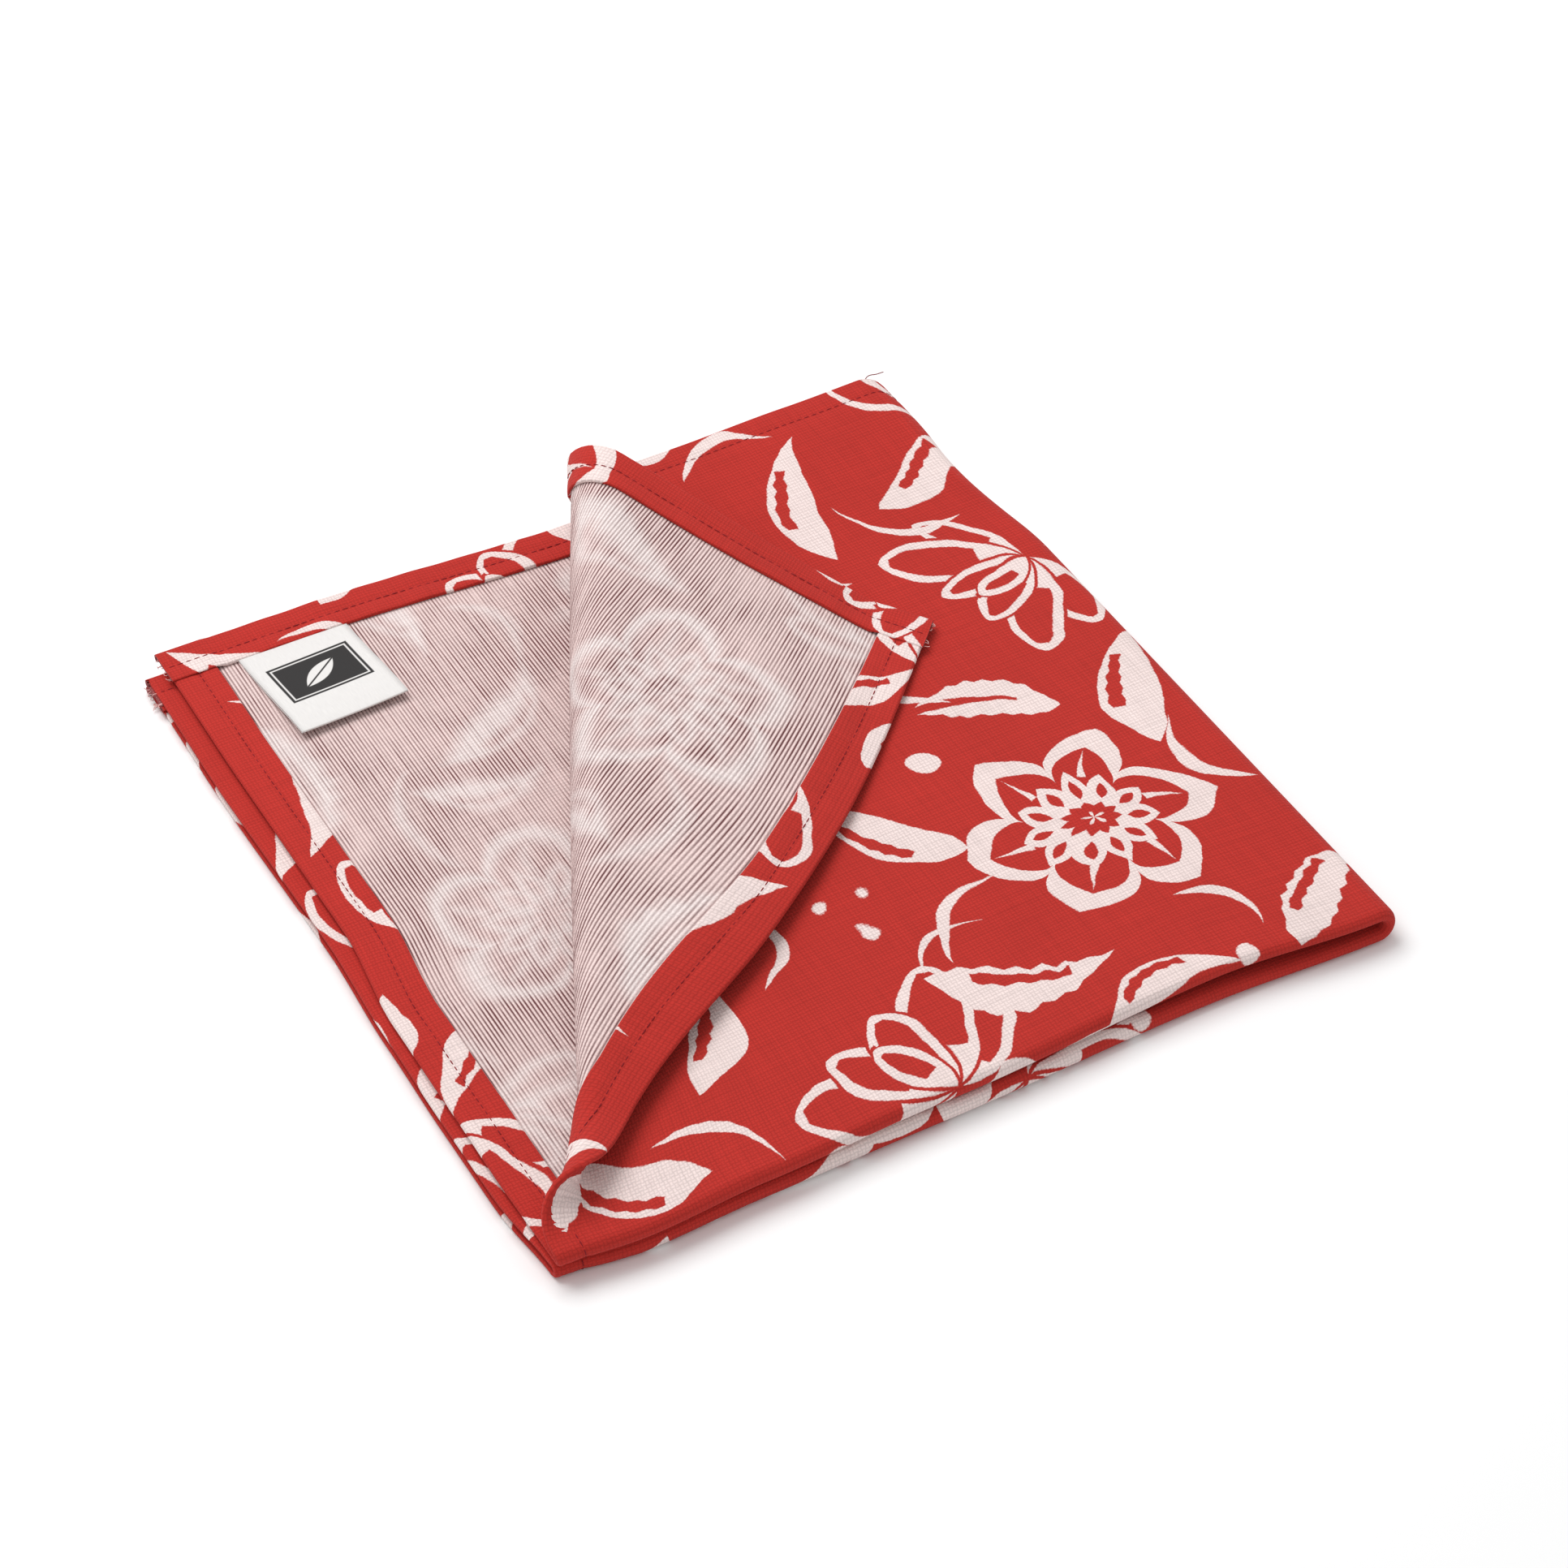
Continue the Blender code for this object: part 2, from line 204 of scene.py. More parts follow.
REPEAT = (262 * MM, 300 * MM)
BLOSSOMS = motifs(
    "petals inner twist",
    (206, 74, 14, 38, 6, 11, 0.35),
    (60, 190, 50, 37, 5, 10, -0.4),
    (150, 276, 20, 35, 6, 9, 0.5),
)
FANS = motifs(
    "width",
    (112, 24, 28, 48, 0.30),
    (232, 172, 112, 44, 0.27),
    (20, 268, -25, 46, 0.30),
    (132, 150, -160, 44, 0.28),
)
LEAVES = motifs(
    "width bend tooth hollow vein",
    (152, 98, 128, 25, 0.32, 0.30, 0.0, 1, 0),
    (158, 30, -18, 27, 0.27, -0.34, 0.06, 1, 0),
    (248, 118, 66, 25, 0.36, 0.24, 0.0, 1, 0),
    (188, 8, 14, 24, 0.27, 0.36, 0.0, 1, 0),
    (206, 132, 158, 22, 0.32, -0.28, 0.05, 0, 1),
    (206, 232, 70, 27, 0.30, 0.32, 0.0, 1, 0),
    (100, 238, 200, 26, 0.32, 0.2, 0.0, 1, 0),
    (18, 112, 100, 29, 0.27, -0.3, 0.06, 0, 1),
    (84, 112, -35, 25, 0.3, 0.25, 0.0, 1, 0),
    (28, 22, 150, 26, 0.3, 0.25, 0.0, 1, 0),
    (250, 228, 35, 24, 0.28, -0.3, 0.0, 1, 0),
    (10, 216, 60, 20, 0.3, 0.2, 0.0, 0, 1),
    (72, 56, 64, 22, 0.34, -0.3, 0.0, 1, 0),
    (246, 22, 40, 22, 0.30, 0.3, 0.05, 1, 0),
    (176, 190, 20, 24, 0.3, 0.3, 0.05, 1, 0),
    (66, 138, 10, 20, 0.3, 0.3, 0.0, 1, 0),
)
STEMS = motifs(
    "width bend",
    (156, 62, 40, 19, 0.09, 0.5),
    (146, 56, 22, 13, 0.08, 0.6),
    (246, 84, 100, 16, 0.12, 0.6),
    (104, 76, 80, 17, 0.10, -0.5),
    (184, 152, 110, 19, 0.09, 0.5),
    (228, 208, 150, 19, 0.10, 0.55),
    (40, 140, 95, 20, 0.09, 0.45),
    (196, 262, 10, 18, 0.12, 0.5),
    (58, 24, -30, 18, 0.10, 0.5),
    (222, 30, -50, 14, 0.12, 0.5),
)
BERRIES = motifs(
    "",
    (178, 116, 0, 6.0),
    (186, 126, 90, 4.5),
    (172, 128, 200, 3.8),
    (180, 138, 300, 2.8),
    (132, 66, 60, 6.8),
    (138, 78, 160, 4.5),
    (124, 80, 30, 5.2),
    (130, 92, 120, 3.5),
    (216, 8, 30, 5.5),
    (224, 0, 90, 3.8),
    (116, 200, 30, 5.8),
    (126, 192, 120, 4.0),
    (86, 2, 40, 5.5),
    (226, 250, 10, 5.0),
)
# The petals of a fan flower, back ones first
FAN_PETALS = (
    dict(turn=78, length=0.80),
    dict(turn=-78, length=0.76),
    dict(turn=44, length=0.94),
    dict(turn=-46, length=0.98),
    dict(turn=17, length=0.74),
    dict(turn=-16, length=0.72),
    dict(turn=0, length=0.52),
)


# The fold


def ease(value):
    """0 below 0, 1 above 1, and a smooth step between."""
    value = np.clip(value, 0.0, 1.0)
    return value * value * (3.0 - 2.0 * value)


def row_value(rows, key, column, at):
    """A column of one of the tables above, eased from row to row, in metres."""
    keys = np.array([row[key] for row in rows], float) * MM
    values = np.array([row[column] for row in rows], float) * MM
    low = np.clip(np.searchsorted(keys, at) - 1, 0, len(keys) - 2)
    part = ease((at - keys[low]) / (keys[low + 1] - keys[low]))
    return values[low] * (1.0 - part) + values[low + 1] * part


def top_height(x, y):
    """Height of layer 1's right side above the table where it isn't rolled."""
    rise = ease((y - BACK_RISE_START) / BACK_RISE_RUN) * row_value(BACK_RISE, "x", "rise", x)
    dip = (1.0 - ease(x / FRONT_DIP_SIZE[0])) * (1.0 - ease(y / FRONT_DIP_SIZE[1]))
    return STACK + rise - FRONT_DIP * dip


def half_gap(x, y):
    """Half of the gap between the lower pair and the upper pair."""
    near = 1.0 - ease(y / CORNER_MOUTH_SIZE[1])
    return PAIR_GAP + CORNER_MOUTH * near * ease((x - CORNER_MOUTH_START) / CORNER_MOUTH_SIZE[0])


def roll_radius(along):
    """Radius of the rolled corner's right side, which opens along the roll."""
    part = np.clip(along / ROLL_LENGTH, ROLL_LEAST, 1.0)
    return ROLL_RADIUS * part * (2.0 - part)


def roll_section(length, radius):
    """(across, up) of a point this far round the roll's section: up, over and down to rest."""
    turned = radius * (math.pi + FLAP_SLOPE)
    fall = 2 * radius - FLAP_REST - (radius + FLAP_BEND) * (1 - math.cos(FLAP_SLOPE))
    slope = np.maximum(fall / math.sin(FLAP_SLOPE), 0.0)
    angle = np.clip(length, 0.0, turned) / radius
    across = -radius * np.sin(angle)
    up = radius * (1.0 - np.cos(angle))
    down = np.clip(length - turned, 0.0, slope)
    across += down * math.cos(FLAP_SLOPE)
    up -= down * math.sin(FLAP_SLOPE)
    rest = np.clip(length - turned - slope, 0.0, FLAP_BEND * FLAP_SLOPE) / FLAP_BEND
    across += FLAP_BEND * (math.sin(FLAP_SLOPE) - np.sin(FLAP_SLOPE - rest))
    up -= FLAP_BEND * (np.cos(FLAP_SLOPE - rest) - math.cos(FLAP_SLOPE))
    across += np.maximum(length - turned - slope - FLAP_BEND * FLAP_SLOPE, 0.0)
    return across, up


def roll_back(x, y, hem_distance):
    """Carries layer 1's points past the roll's line over it. Returns x, y and the height gained."""
    along = x * ALONG_ROLL[0] + (y - ROLL_START) * ALONG_ROLL[1]
    past = -(x * ACROSS_ROLL[0] + (y - ROLL_START) * ACROSS_ROLL[1])
    radius = roll_radius(along) / np.maximum(ease(y / ROLL_FADE), LEAST_FADE)
    across, up = roll_section(np.maximum(past, 0.0), radius)
    run = DEPTH + TOP_BACK_SHIFT - ROLL_FADE
    middle = np.sin(math.pi * np.clip((y - ROLL_FADE) / run, 0.0, 1.0))
    free = np.clip(1.0 - hem_distance / FLAP_BOW_DEPTH, 0.0, 1.0)
    across += FLAP_BOW * free * middle * ease((past - FLAP_BOW_START * radius) / FLAP_BOW_RUN)
    rolled_x = along * ALONG_ROLL[0] + across * ACROSS_ROLL[0]
    rolled_y = ROLL_START + along * ALONG_ROLL[1] + across * ACROSS_ROLL[1]
    rolls = past > 0.0
    return np.where(rolls, rolled_x, x), np.where(rolls, rolled_y, y), np.where(rolls, up, 0.0)


def fold_cloth(a, b):
    """Folded places, as an array of (x, y, z) rows, of flat points (a, b) of the right side."""
    first = np.clip(b / PAIR_BEND, -math.pi / 2, math.pi / 2)
    inner = (1.0 + np.sin(first)) / 2.0
    y = PAIR_BEND * (1.0 - np.cos(first)) + np.maximum(abs(b) - math.pi / 2 * PAIR_BEND, 0.0)

    second = np.clip(a / (STACK / 2), -math.pi / 2, math.pi / 2)
    upper = (1.0 + np.sin(second)) / 2.0
    from_fold = np.maximum(abs(a) - math.pi / 2 * STACK / 2, 0.0)
    x = WIDTH - STACK / 2 - from_fold

    upper_back = inner * row_value(BACK_EDGE, "x", "second", x) + (1.0 - inner) * TOP_BACK_SHIFT
    back = (1.0 - upper) * row_value(BACK_EDGE, "x", "lower", x) + upper * upper_back
    y = y + back * np.clip(y / DEPTH, 0.0, 1.0)
    lower_front = row_value(FRONT_EDGE, "x", "lower", x)
    upper_front = row_value(FRONT_EDGE, "x", "upper", x)
    front = (1.0 - upper) * lower_front + upper * upper_front
    y = y + front * (1.0 - ease(y / FRONT_FADE))

    top_left = TOP_LEFT_SHIFT * ease(y / TOP_LEFT_RUN)
    upper_left = inner * row_value(LEFT_EDGE, "y", "second", y) + (1.0 - inner) * top_left
    left = (1.0 - upper) * row_value(LEFT_EDGE, "y", "lower", y) + upper * upper_left
    x = x + left * (1.0 - ease(x / LEFT_FADE))
    x = x + row_value(RIGHT_FOLD, "y", "shift", y) * (1.0 - ease(from_fold / RIGHT_FADE))

    height = top_height(x, y)
    middle = (1.0 - inner) * height / 2 + inner * MIDDLE
    radius = (1.0 - inner) * height / 2 + inner * half_gap(x, y)
    x = x + radius * np.cos(second)
    z = middle + radius * np.sin(second)

    rolled_x, rolled_y, up = roll_back(x, y, HALF_A - abs(a))
    rolls = (a > 0.0) & (b < 0.0) & (up > 0.0)
    carried = z - height + top_height(rolled_x, rolled_y) + up
    x = np.where(rolls, rolled_x, x)
    y = np.where(rolls, rolled_y, y)
    z = np.where(rolls, carried, z)
    return np.stack([x - PLAN_CENTRE[0], y - PLAN_CENTRE[1], z], axis=-1)


def facing(a, b, step=0.3 * MM):
    """Unit normals of the right side at flat points (a, b)."""
    across = fold_cloth(a + step, b) - fold_cloth(a - step, b)
    along = fold_cloth(a, b + step) - fold_cloth(a, b - step)
    normal = np.cross(across, along)
    return normal / np.maximum(np.linalg.norm(normal, axis=-1, keepdims=True), 1e-12)


def place(a, b, depth):
    """Folded places of points this deep below the right side."""
    return fold_cloth(a, b) - np.asarray(depth)[..., None] * facing(a, b)


# Meshes


def cuts_along(rows, half, hem):
    """Distances from a fold at which the flat cloth is cut, up to its hem and over it."""
    lines, start = [0.0], 0.0
    for row in rows:
        count = math.ceil((row["to"] - start) / row["pitch"])
        lines += list(np.linspace(start, row["to"], count + 1)[1:])
        start = row["to"]
    lines = [value * MM for value in lines if value * MM < half - hem - HEM_PITCH * MM]
    end = half - edge_radius()
    return np.array(lines + list(np.linspace(half - hem, end, math.ceil(hem / MM / HEM_PITCH))))


def cuts_across(minus, plus, half, hem):
    """Where the flat cloth is cut on both sides of a fold."""
    below, above = (cuts_along(CUTS[name], half, hem) for name in (minus, plus))
    return np.concatenate([-below[:0:-1], above])


def edge_radius():
    return bpy.context.scene.napkin_cloth.hem_thickness / 2


def stitch_dent(distance):
    """How far the stitching draws the right side in, this far from the cloth's edge."""
    cloth = bpy.context.scene.napkin_cloth
    return cloth.dent * np.exp(-(((distance - cloth.seam) / cloth.dent_width) ** 2))


class Shell:
    """Gathers rows of points and their faces, with each point's place in the cut cloth."""

    def __init__(self):
        self.points, self.flats, self.faces, self.materials = [], [], [], []
        self.count = 0

    def add(self, points, flats):
        """Adds a block of points and returns their numbers in the block's shape."""
        shape = points.shape[:-1]
        self.points.append(points.reshape(-1, 3))
        self.flats.append(flats.reshape(-1, 2))
        numbers = self.count + np.arange(int(np.prod(shape))).reshape(shape)
        self.count += numbers.size
        return numbers

    def grid(self, numbers, material, flip=False):
        corners = [numbers[:-1, :-1], numbers[1:, :-1], numbers[1:, 1:], numbers[:-1, 1:]]
        faces = np.stack(corners[::-1] if flip else corners, axis=-1).reshape(-1, 4)
        self.faces += faces.tolist()
        self.materials += [material] * len(faces)

    def strip(self, first, second, material, flip):
        """Faces between two rows of points."""
        self.grid(np.stack([first, second], axis=1), material, flip)

    def mesh(self, name):
        mesh = bpy.data.meshes.new(name)
        mesh.from_pydata(np.concatenate(self.points), [], self.faces)
        mesh.polygons.foreach_set("material_index", self.materials)
        corners = np.empty(len(mesh.loops), int)
        mesh.loops.foreach_get("vertex_index", corners)
        flats = np.concatenate(self.flats)[corners]
        mesh.uv_layers.new(name="flat").data.foreach_set("uv", flats.ravel())
        mesh.shade_smooth()
        mesh.set_sharp_from_angle(angle=math.radians(50))
        mesh.validate()
        return mesh


def flat_place(a, b):
    """Where a flat point is in the print: from the left hem, and up from the first fold."""
    return np.stack([HALF_A - a, -b], axis=-1)


PRINTED, WRONG, RAW = range(3)


def add_body_cloth(shell, cloth):
    """The single cloth between the hems' outer folds: right side, wrong side and rim."""
    a = cuts_across("lower", "upper", HALF_A, cloth.hem_width)
    b = cuts_across("top", "inner", HALF_B, cloth.hem_width)
    a_grid, b_grid = np.meshgrid(a, b, indexing="ij")
    dent = stitch_dent(HALF_A - abs(a_grid)) + stitch_dent(HALF_B - abs(b_grid))
    dent[[0, -1], :] = dent[:, [0, -1]] = 0.0
    right = shell.add(place(a_grid, b_grid, dent), flat_place(a_grid, b_grid))
    deep = np.full_like(a_grid, cloth.thickness)
    wrong = shell.add(place(a_grid, b_grid, deep), flat_place(a_grid, b_grid))
    shell.grid(right, PRINTED)
    shell.grid(wrong, WRONG, flip=True)
    for row, back in ((0, False), (-1, True)):
        shell.strip(right[row], wrong[row], PRINTED, flip=not back)
        shell.strip(right[:, row], wrong[:, row], PRINTED, flip=back)
    return a, b


def hem_section(cloth, floor, top):
    """(distance from the edge, depth) points round a hem's section, from its outer fold.

    floor and top are the depths between which the turned cloth lies.
    """
    radius = edge_radius()
    half = top / 2
    turn = np.linspace(0.0, math.pi, 9)
    outer = [(radius - radius * math.sin(t), half - half * math.cos(t)) for t in turn]
    lip = (top - floor) / 2
    fold = cloth.hem_width - lip
    flat_run = np.linspace(radius, fold, 13)[1:-1]
    over = [(run, top - float(stitch_dent(run)) * DENT_BEHIND) for run in flat_run]
    turn = np.linspace(0.0, math.pi, 7)
    inner = [(fold + lip * math.sin(t), floor + lip + lip * math.cos(t)) for t in turn]
    return np.array(outer + over + inner + [(radius, floor)])


def lapped(run, half_run, cloth):
    """0 along a hem, and 1 where it lies over the end of the hem it crosses."""
    return ease((abs(run) - half_run + cloth.hem_width + LAP_RUN) / LAP_RUN)


def add_hem(shell, cloth, lines, along_a, sign):
    """A hem turned twice to the wrong side, along one edge of the cloth.

    The hems that run along a are turned last, so they lie over the ends of the others.
    """
    half_edge, half_run = (HALF_B, HALF_A) if along_a else (HALF_A, HALF_B)
    thickness = cloth.hem_thickness
    stations = lines.copy()
    end = half_run + cloth.overhang if along_a else half_run - edge_radius()
    stations[0], stations[-1] = -end, end
    over = lapped(stations, half_run, cloth) * along_a
    wave = sum(
        row["size"] * np.sin(stations / cloth.pucker_length * row["rate"] + row["start"])
        for row in RIPPLES
    )

    def laid(distances, station, depths):
        """Folded places of points at these distances from the edge."""
        edge = sign * (half_edge - distances)
        other = np.full_like(edge, station)
        a, b = (other, edge) if along_a else (edge, other)
        return place(a, b, depths), flat_place(a, b)

    rows, flats, sections = [], [], []
    for station, lifted, ripple in zip(stations, over, wave):
        floor = cloth.thickness + lifted * (thickness - cloth.thickness - LAP_GAP)
        top = thickness + lifted * LAP_RISE * cloth.thickness
        section = hem_section(cloth, floor, top)
        swell = np.clip((section[:, 1] - floor) / (top - floor), 0.0, 1.0)
        section[:, 1] += swell * ripple * cloth.pucker * (1.0 - lifted)
        sections.append(section)
        rows.append(laid(section[:, 0], station, section[:, 1])[0])
        lengths = np.hypot(*np.diff(section, axis=0).T)
        run = edge_radius() - np.concatenate([[0.0], np.cumsum(lengths)])
        ran = sign * (half_edge - run)
        other = np.full_like(ran, station)
        flats.append(flat_place(other, ran) if along_a else flat_place(ran, other))
    numbers = shell.add(np.array(rows), np.array(flats))
    closed = np.concatenate([numbers, numbers[:, :1]], axis=1)
    flip = (sign < 0) == along_a
    shell.grid(closed, PRINTED, flip=flip)
    for index, inward, turned in ((0, 1, flip), (-1, -1, not flip)):
        mouth = [numbers[index]]
        section = sections[index]
        for inset, shrink in ((0.0, MOUTH_RIM), (cloth.mouth, MOUTH_FLOOR)):
            middle = (section.min(axis=0) + section.max(axis=0)) / 2
            ring = middle + (section - middle) * (0.5 + shrink / 2, shrink)
            mouth.append(shell.add(*laid(ring[:, 0], stations[index] + inward * inset, ring[:, 1])))
        for outer, inner in zip(mouth, mouth[1:]):
            outer, inner = np.append(outer, outer[0]), np.append(inner, inner[0])
            shell.strip(outer, inner, RAW, flip=turned)
        end = mouth[-1]
        shell.faces.append(end.tolist() if turned else end[::-1].tolist())
        shell.materials.append(RAW)


def seam_lines(cloth):
    """Stitch lines as (places, way out) rows for each side of each hem."""
    lines = []
    for along_a in (True, False):
        half_edge, half_run = (HALF_B, HALF_A) if along_a else (HALF_A, HALF_B)
        for sign in (-1, 1):
            run = np.arange(-half_run + SEAM_END, half_run - SEAM_END, SEAM_STEP)
            edge = np.full_like(run, sign * (half_edge - cloth.seam))
            a, b = (run, edge) if along_a else (edge, run)
            out = facing(a, b)
            over = lapped(run, half_run, cloth) * along_a
            top = cloth.hem_thickness + over * LAP_RISE * cloth.thickness
            top = top - DENT_BEHIND * cloth.dent
            seen = abs(run) < (half_run if along_a else half_run - cloth.hem_width)
            lines.append((place(a, b, np.full_like(run, cloth.dent)), out))
            lines.append((place(a, b, top)[seen], -out[seen]))
    return lines


# Materials


def maths(operation, swapped=False):
    """An operator or method of Value that adds one Math node."""

    def apply(self, *others):
        return self.net.sum(operation, *((*others, self) if swapped else (self, *others)))

    return apply


class Value:
    """A node's output in a formula.

    Of two depths inside shapes, low() is where both shapes are and high() is where either is.
    """

    def __init__(self, net, socket):
        self.net, self.socket = net, socket

    __add__, __mul__, __pow__, __abs__ = map(maths, ("ADD", "MULTIPLY", "POWER", "ABSOLUTE"))
    __sub__, __rsub__ = maths("SUBTRACT"), maths("SUBTRACT", swapped=True)
    __truediv__, __rtruediv__ = maths("DIVIDE"), maths("DIVIDE", swapped=True)
    low, high, sine, zigzag = map(maths, ("MINIMUM", "MAXIMUM", "SINE", "PINGPONG"))
    line = maths("MULTIPLY_ADD")

    def __neg__(self):
        return self * -1.0

    def clamped(self):
        self.socket.node.use_clamp = True
        return self


class Net:
    """Writes a node tree: each call adds one node and returns its output."""

    def __init__(self, tree):
        self.tree = tree

    def node(self, kind, **settings):
        node = self.tree.nodes.new(kind)
        for name, value in settings.items():
            setattr(node, name, value)
        return node

    def give(self, socket, value):
        if isinstance(value, Value):
            self.tree.links.new(value.socket, socket)
        else:
            socket.default_value = value

    def call(self, kind, output, values, **settings):
        """Adds a node, gives its inputs by name or number, and returns one of its outputs."""
        node = self.node(kind, **settings)
        for key, value in values.items():
            self.give(node.inputs[key], value)
        return Value(self, node.outputs[output])

    def sum(self, operation, *values):
        return self.call("ShaderNodeMath", 0, dict(enumerate(values)), operation=operation)

    def vector(self, operation, *values):
        output = "Value" if operation in ("LENGTH", "DOT_PRODUCT") else "Vector"
        values = dict(enumerate(values))
        return self.call("ShaderNodeVectorMath", output, values, operation=operation)

    def scale(self, vector, factor):
        values = {0: vector, "Scale": factor}
        return self.call("ShaderNodeVectorMath", "Vector", values, operation="SCALE")

    def spin(self, vector, angle):
        values = dict(Vector=vector, Angle=angle)
        return self.call("ShaderNodeVectorRotate", "Vector", values, rotation_type="Z_AXIS")

    def split(self, vector):
        """x and y of a vector. A Separate node's unread outputs fill Cycles' shader stack."""
        return [self.vector("DOT_PRODUCT", vector, axis) for axis in ((1, 0, 0), (0, 1, 0))]

    def join(self, x, y, z=0.0):
        return self.call("ShaderNodeCombineXYZ", "Vector", dict(X=x, Y=y, Z=z))

    def mix(self, share, first, second):
        first, second = (c if isinstance(c, Value) else (*c, 1.0) for c in (first, second))
        values = dict(Factor=share, A=first, B=second)
        return self.call("ShaderNodeMix", "Result", values, data_type="RGBA")

    def noise(self, vector, scale, detail=2.0, output="Fac"):
        values = dict(Vector=vector, Scale=scale, Detail=detail)
        return self.call("ShaderNodeTexNoise", output, values)

    def group(self, tree, output, **values):
        values = {name.capitalize(): value for name, value in values.items()}
        return self.call("ShaderNodeGroup", output, values, node_tree=tree)

    def threads(self, weave, flat, pitch):
        """Height and slub of the weave, from one group."""
        height = self.group(weave, "Height", flat=flat, pitch=pitch)
        return height, Value(self, height.socket.node.outputs["Slub"])

    def flat(self):
        """The place in the cut cloth."""
        return self.call("ShaderNodeUVMap", "UV", {}, uv_map="flat")

    def bump(self, shader, height, strength, distance):
        values = dict(Strength=strength, Distance=distance, Height=height)
        self.give(shader.inputs["Normal"], self.call("ShaderNodeBump", "Normal", values))


def new_group(name, inputs, outputs, kind="ShaderNodeTree"):
    """A node group: its tree, its Net, its inputs as Values, and its output sockets."""
    tree = bpy.data.node_groups.new(name, kind)
    for way, sockets in (("INPUT", inputs), ("OUTPUT", outputs)):
        for label, data in sockets.items():
            tree.interface.new_socket(label, in_out=way, socket_type="NodeSocket" + data)
    net = Net(tree)
    entry = {item.name: Value(net, item) for item in net.node("NodeGroupInput").outputs}
    return tree, net, entry, net.node("NodeGroupOutput").inputs


def motif_group(name, shape, *own_inputs):
    """The group of one kind of motif. shape() gives its depth, in its own size."""
    inputs = {"Flat": "Vector", "Centre": "Vector", "Turn": "Float", "Size": "Float"}
    inputs.update(dict.fromkeys(own_inputs, "Float"))
    tree, net, entry, leave = new_group(name, inputs, {"Depth": "Float"})
    half = (REPEAT[0] / 2, REPEAT[1] / 2, 1.0)
    away = net.vector("SUBTRACT", entry["Flat"], entry["Centre"])
    wrapped = net.vector("WRAP", away, half, tuple(-value for value in half))
    own = net.scale(net.spin(wrapped, -entry["Turn"]), 1.0 / entry["Size"])
    net.give(leave["Depth"], shape(net, entry, own) * entry["Size"])
    return tree


def blossom(net, entry, own):
    """A full-faced flower: an outline of pointed petals, a fringe with drops, and seeds."""
    x, y = net.split(own)
    radius = net.vector("LENGTH", own)
    angle = net.sum("ARCTAN2", y, x)
    leaning = radius.line(entry["Twist"], angle)

    def from_tip(turned, count):
        """0 along the middle of each petal and 1 between two."""
        return (turned * count * (1 / (2 * math.pi))).zigzag(0.5) * 2.0

    def aside(spread, count):
        """Distance from the middle of the petal."""
        return spread * math.pi / count * radius

    def pointed(spread, power, reach, least):
        return ((1.0 - spread) ** power).line(reach, least)

    spread = from_tip(leaning, entry["Petals"])
    outline = pointed(spread, 0.55, 0.38, 0.62)
    ring = (outline - radius).low(radius - outline.line(0.86, -0.045))
    streak = (0.76 - radius) * 0.13 - aside(spread, entry["Petals"])
    streak = streak.low(radius - 0.5)

    spread = from_tip(angle, entry["Inner"])
    fringe = pointed(spread, 0.8, 0.15, 0.40) - radius
    fringe = fringe.low(radius - pointed(spread, 1.0, 0.05, 0.19))
    share = (radius - 0.375) / 0.095
    drop = (share * share).line(-0.046, 0.046) - aside(spread, entry["Inner"])
    fringe = fringe.low(-drop)

    spread = from_tip(angle, 5.0)
    seed = net.vector("LENGTH", net.join(aside(spread, 5.0), radius - 0.10))
    return ring.high(streak).high(fringe.high(0.035 - seed))


def fan(net, entry, own):
    """A flower seen from the side: outlined petals laid over each other, joined at the foot."""
    own = net.vector("ADD", own, (0.0, 0.45, 0.0))
    depth = None
    for petal in FAN_PETALS:
        length = petal["length"]
        across, up = net.split(net.spin(own, -math.radians(petal["turn"])))
        share = (up / length).clamped()
        swell = share**0.8 * (1.0 - share) ** 0.62 * (2.1 * length)
        body = (swell * entry["Width"] - abs(across)).low(up.low(length - up))
        white = body.low(0.062 - body).high(body.low(0.34 * length - up))
        depth = depth.low(body.line(-1.0, -0.028)).high(white) if depth else white
    return depth


def leaf(net, entry, own):
    """A bent leaf with a vein or a hollow cut in it. A narrow one is a stem."""
    x, y = net.split(own)
    square = x * x
    y = y + entry["Bend"] * (square - 0.3)
    span = (1.0 - square).high(0.0)
    width = span**0.9 * x.line(-0.42, 1.0) * entry["Width"]
    teeth = (x + 2.0).zigzag(0.13) * 8.0 * entry["Tooth"]
    width = width + teeth * span
    aside = abs(y)
    body = (width - aside).low(1.0 - abs(x))
    vein = (x.line(0.035, 0.045) - aside).low(x + 0.45)
    wobble = (x + 2.05).zigzag(0.11) * 0.28
    hollow = width.line(0.20, wobble) - abs(width.line(-0.46, y))
    hollow = hollow.low(0.50 - abs(x))
    for cut, share in ((vein, entry["Vein"]), (hollow, entry["Hollow"])):
        body = body.low(1.0 - share - cut)
    return body


def berry(net, entry, own):
    """A round berry with a crescent of light left on it."""
    hole = net.vector("LENGTH", net.vector("SUBTRACT", own, (0.3, 0.12, 0.0))) - 0.52
    return (1.0 - net.vector("LENGTH", own)).low(hole)


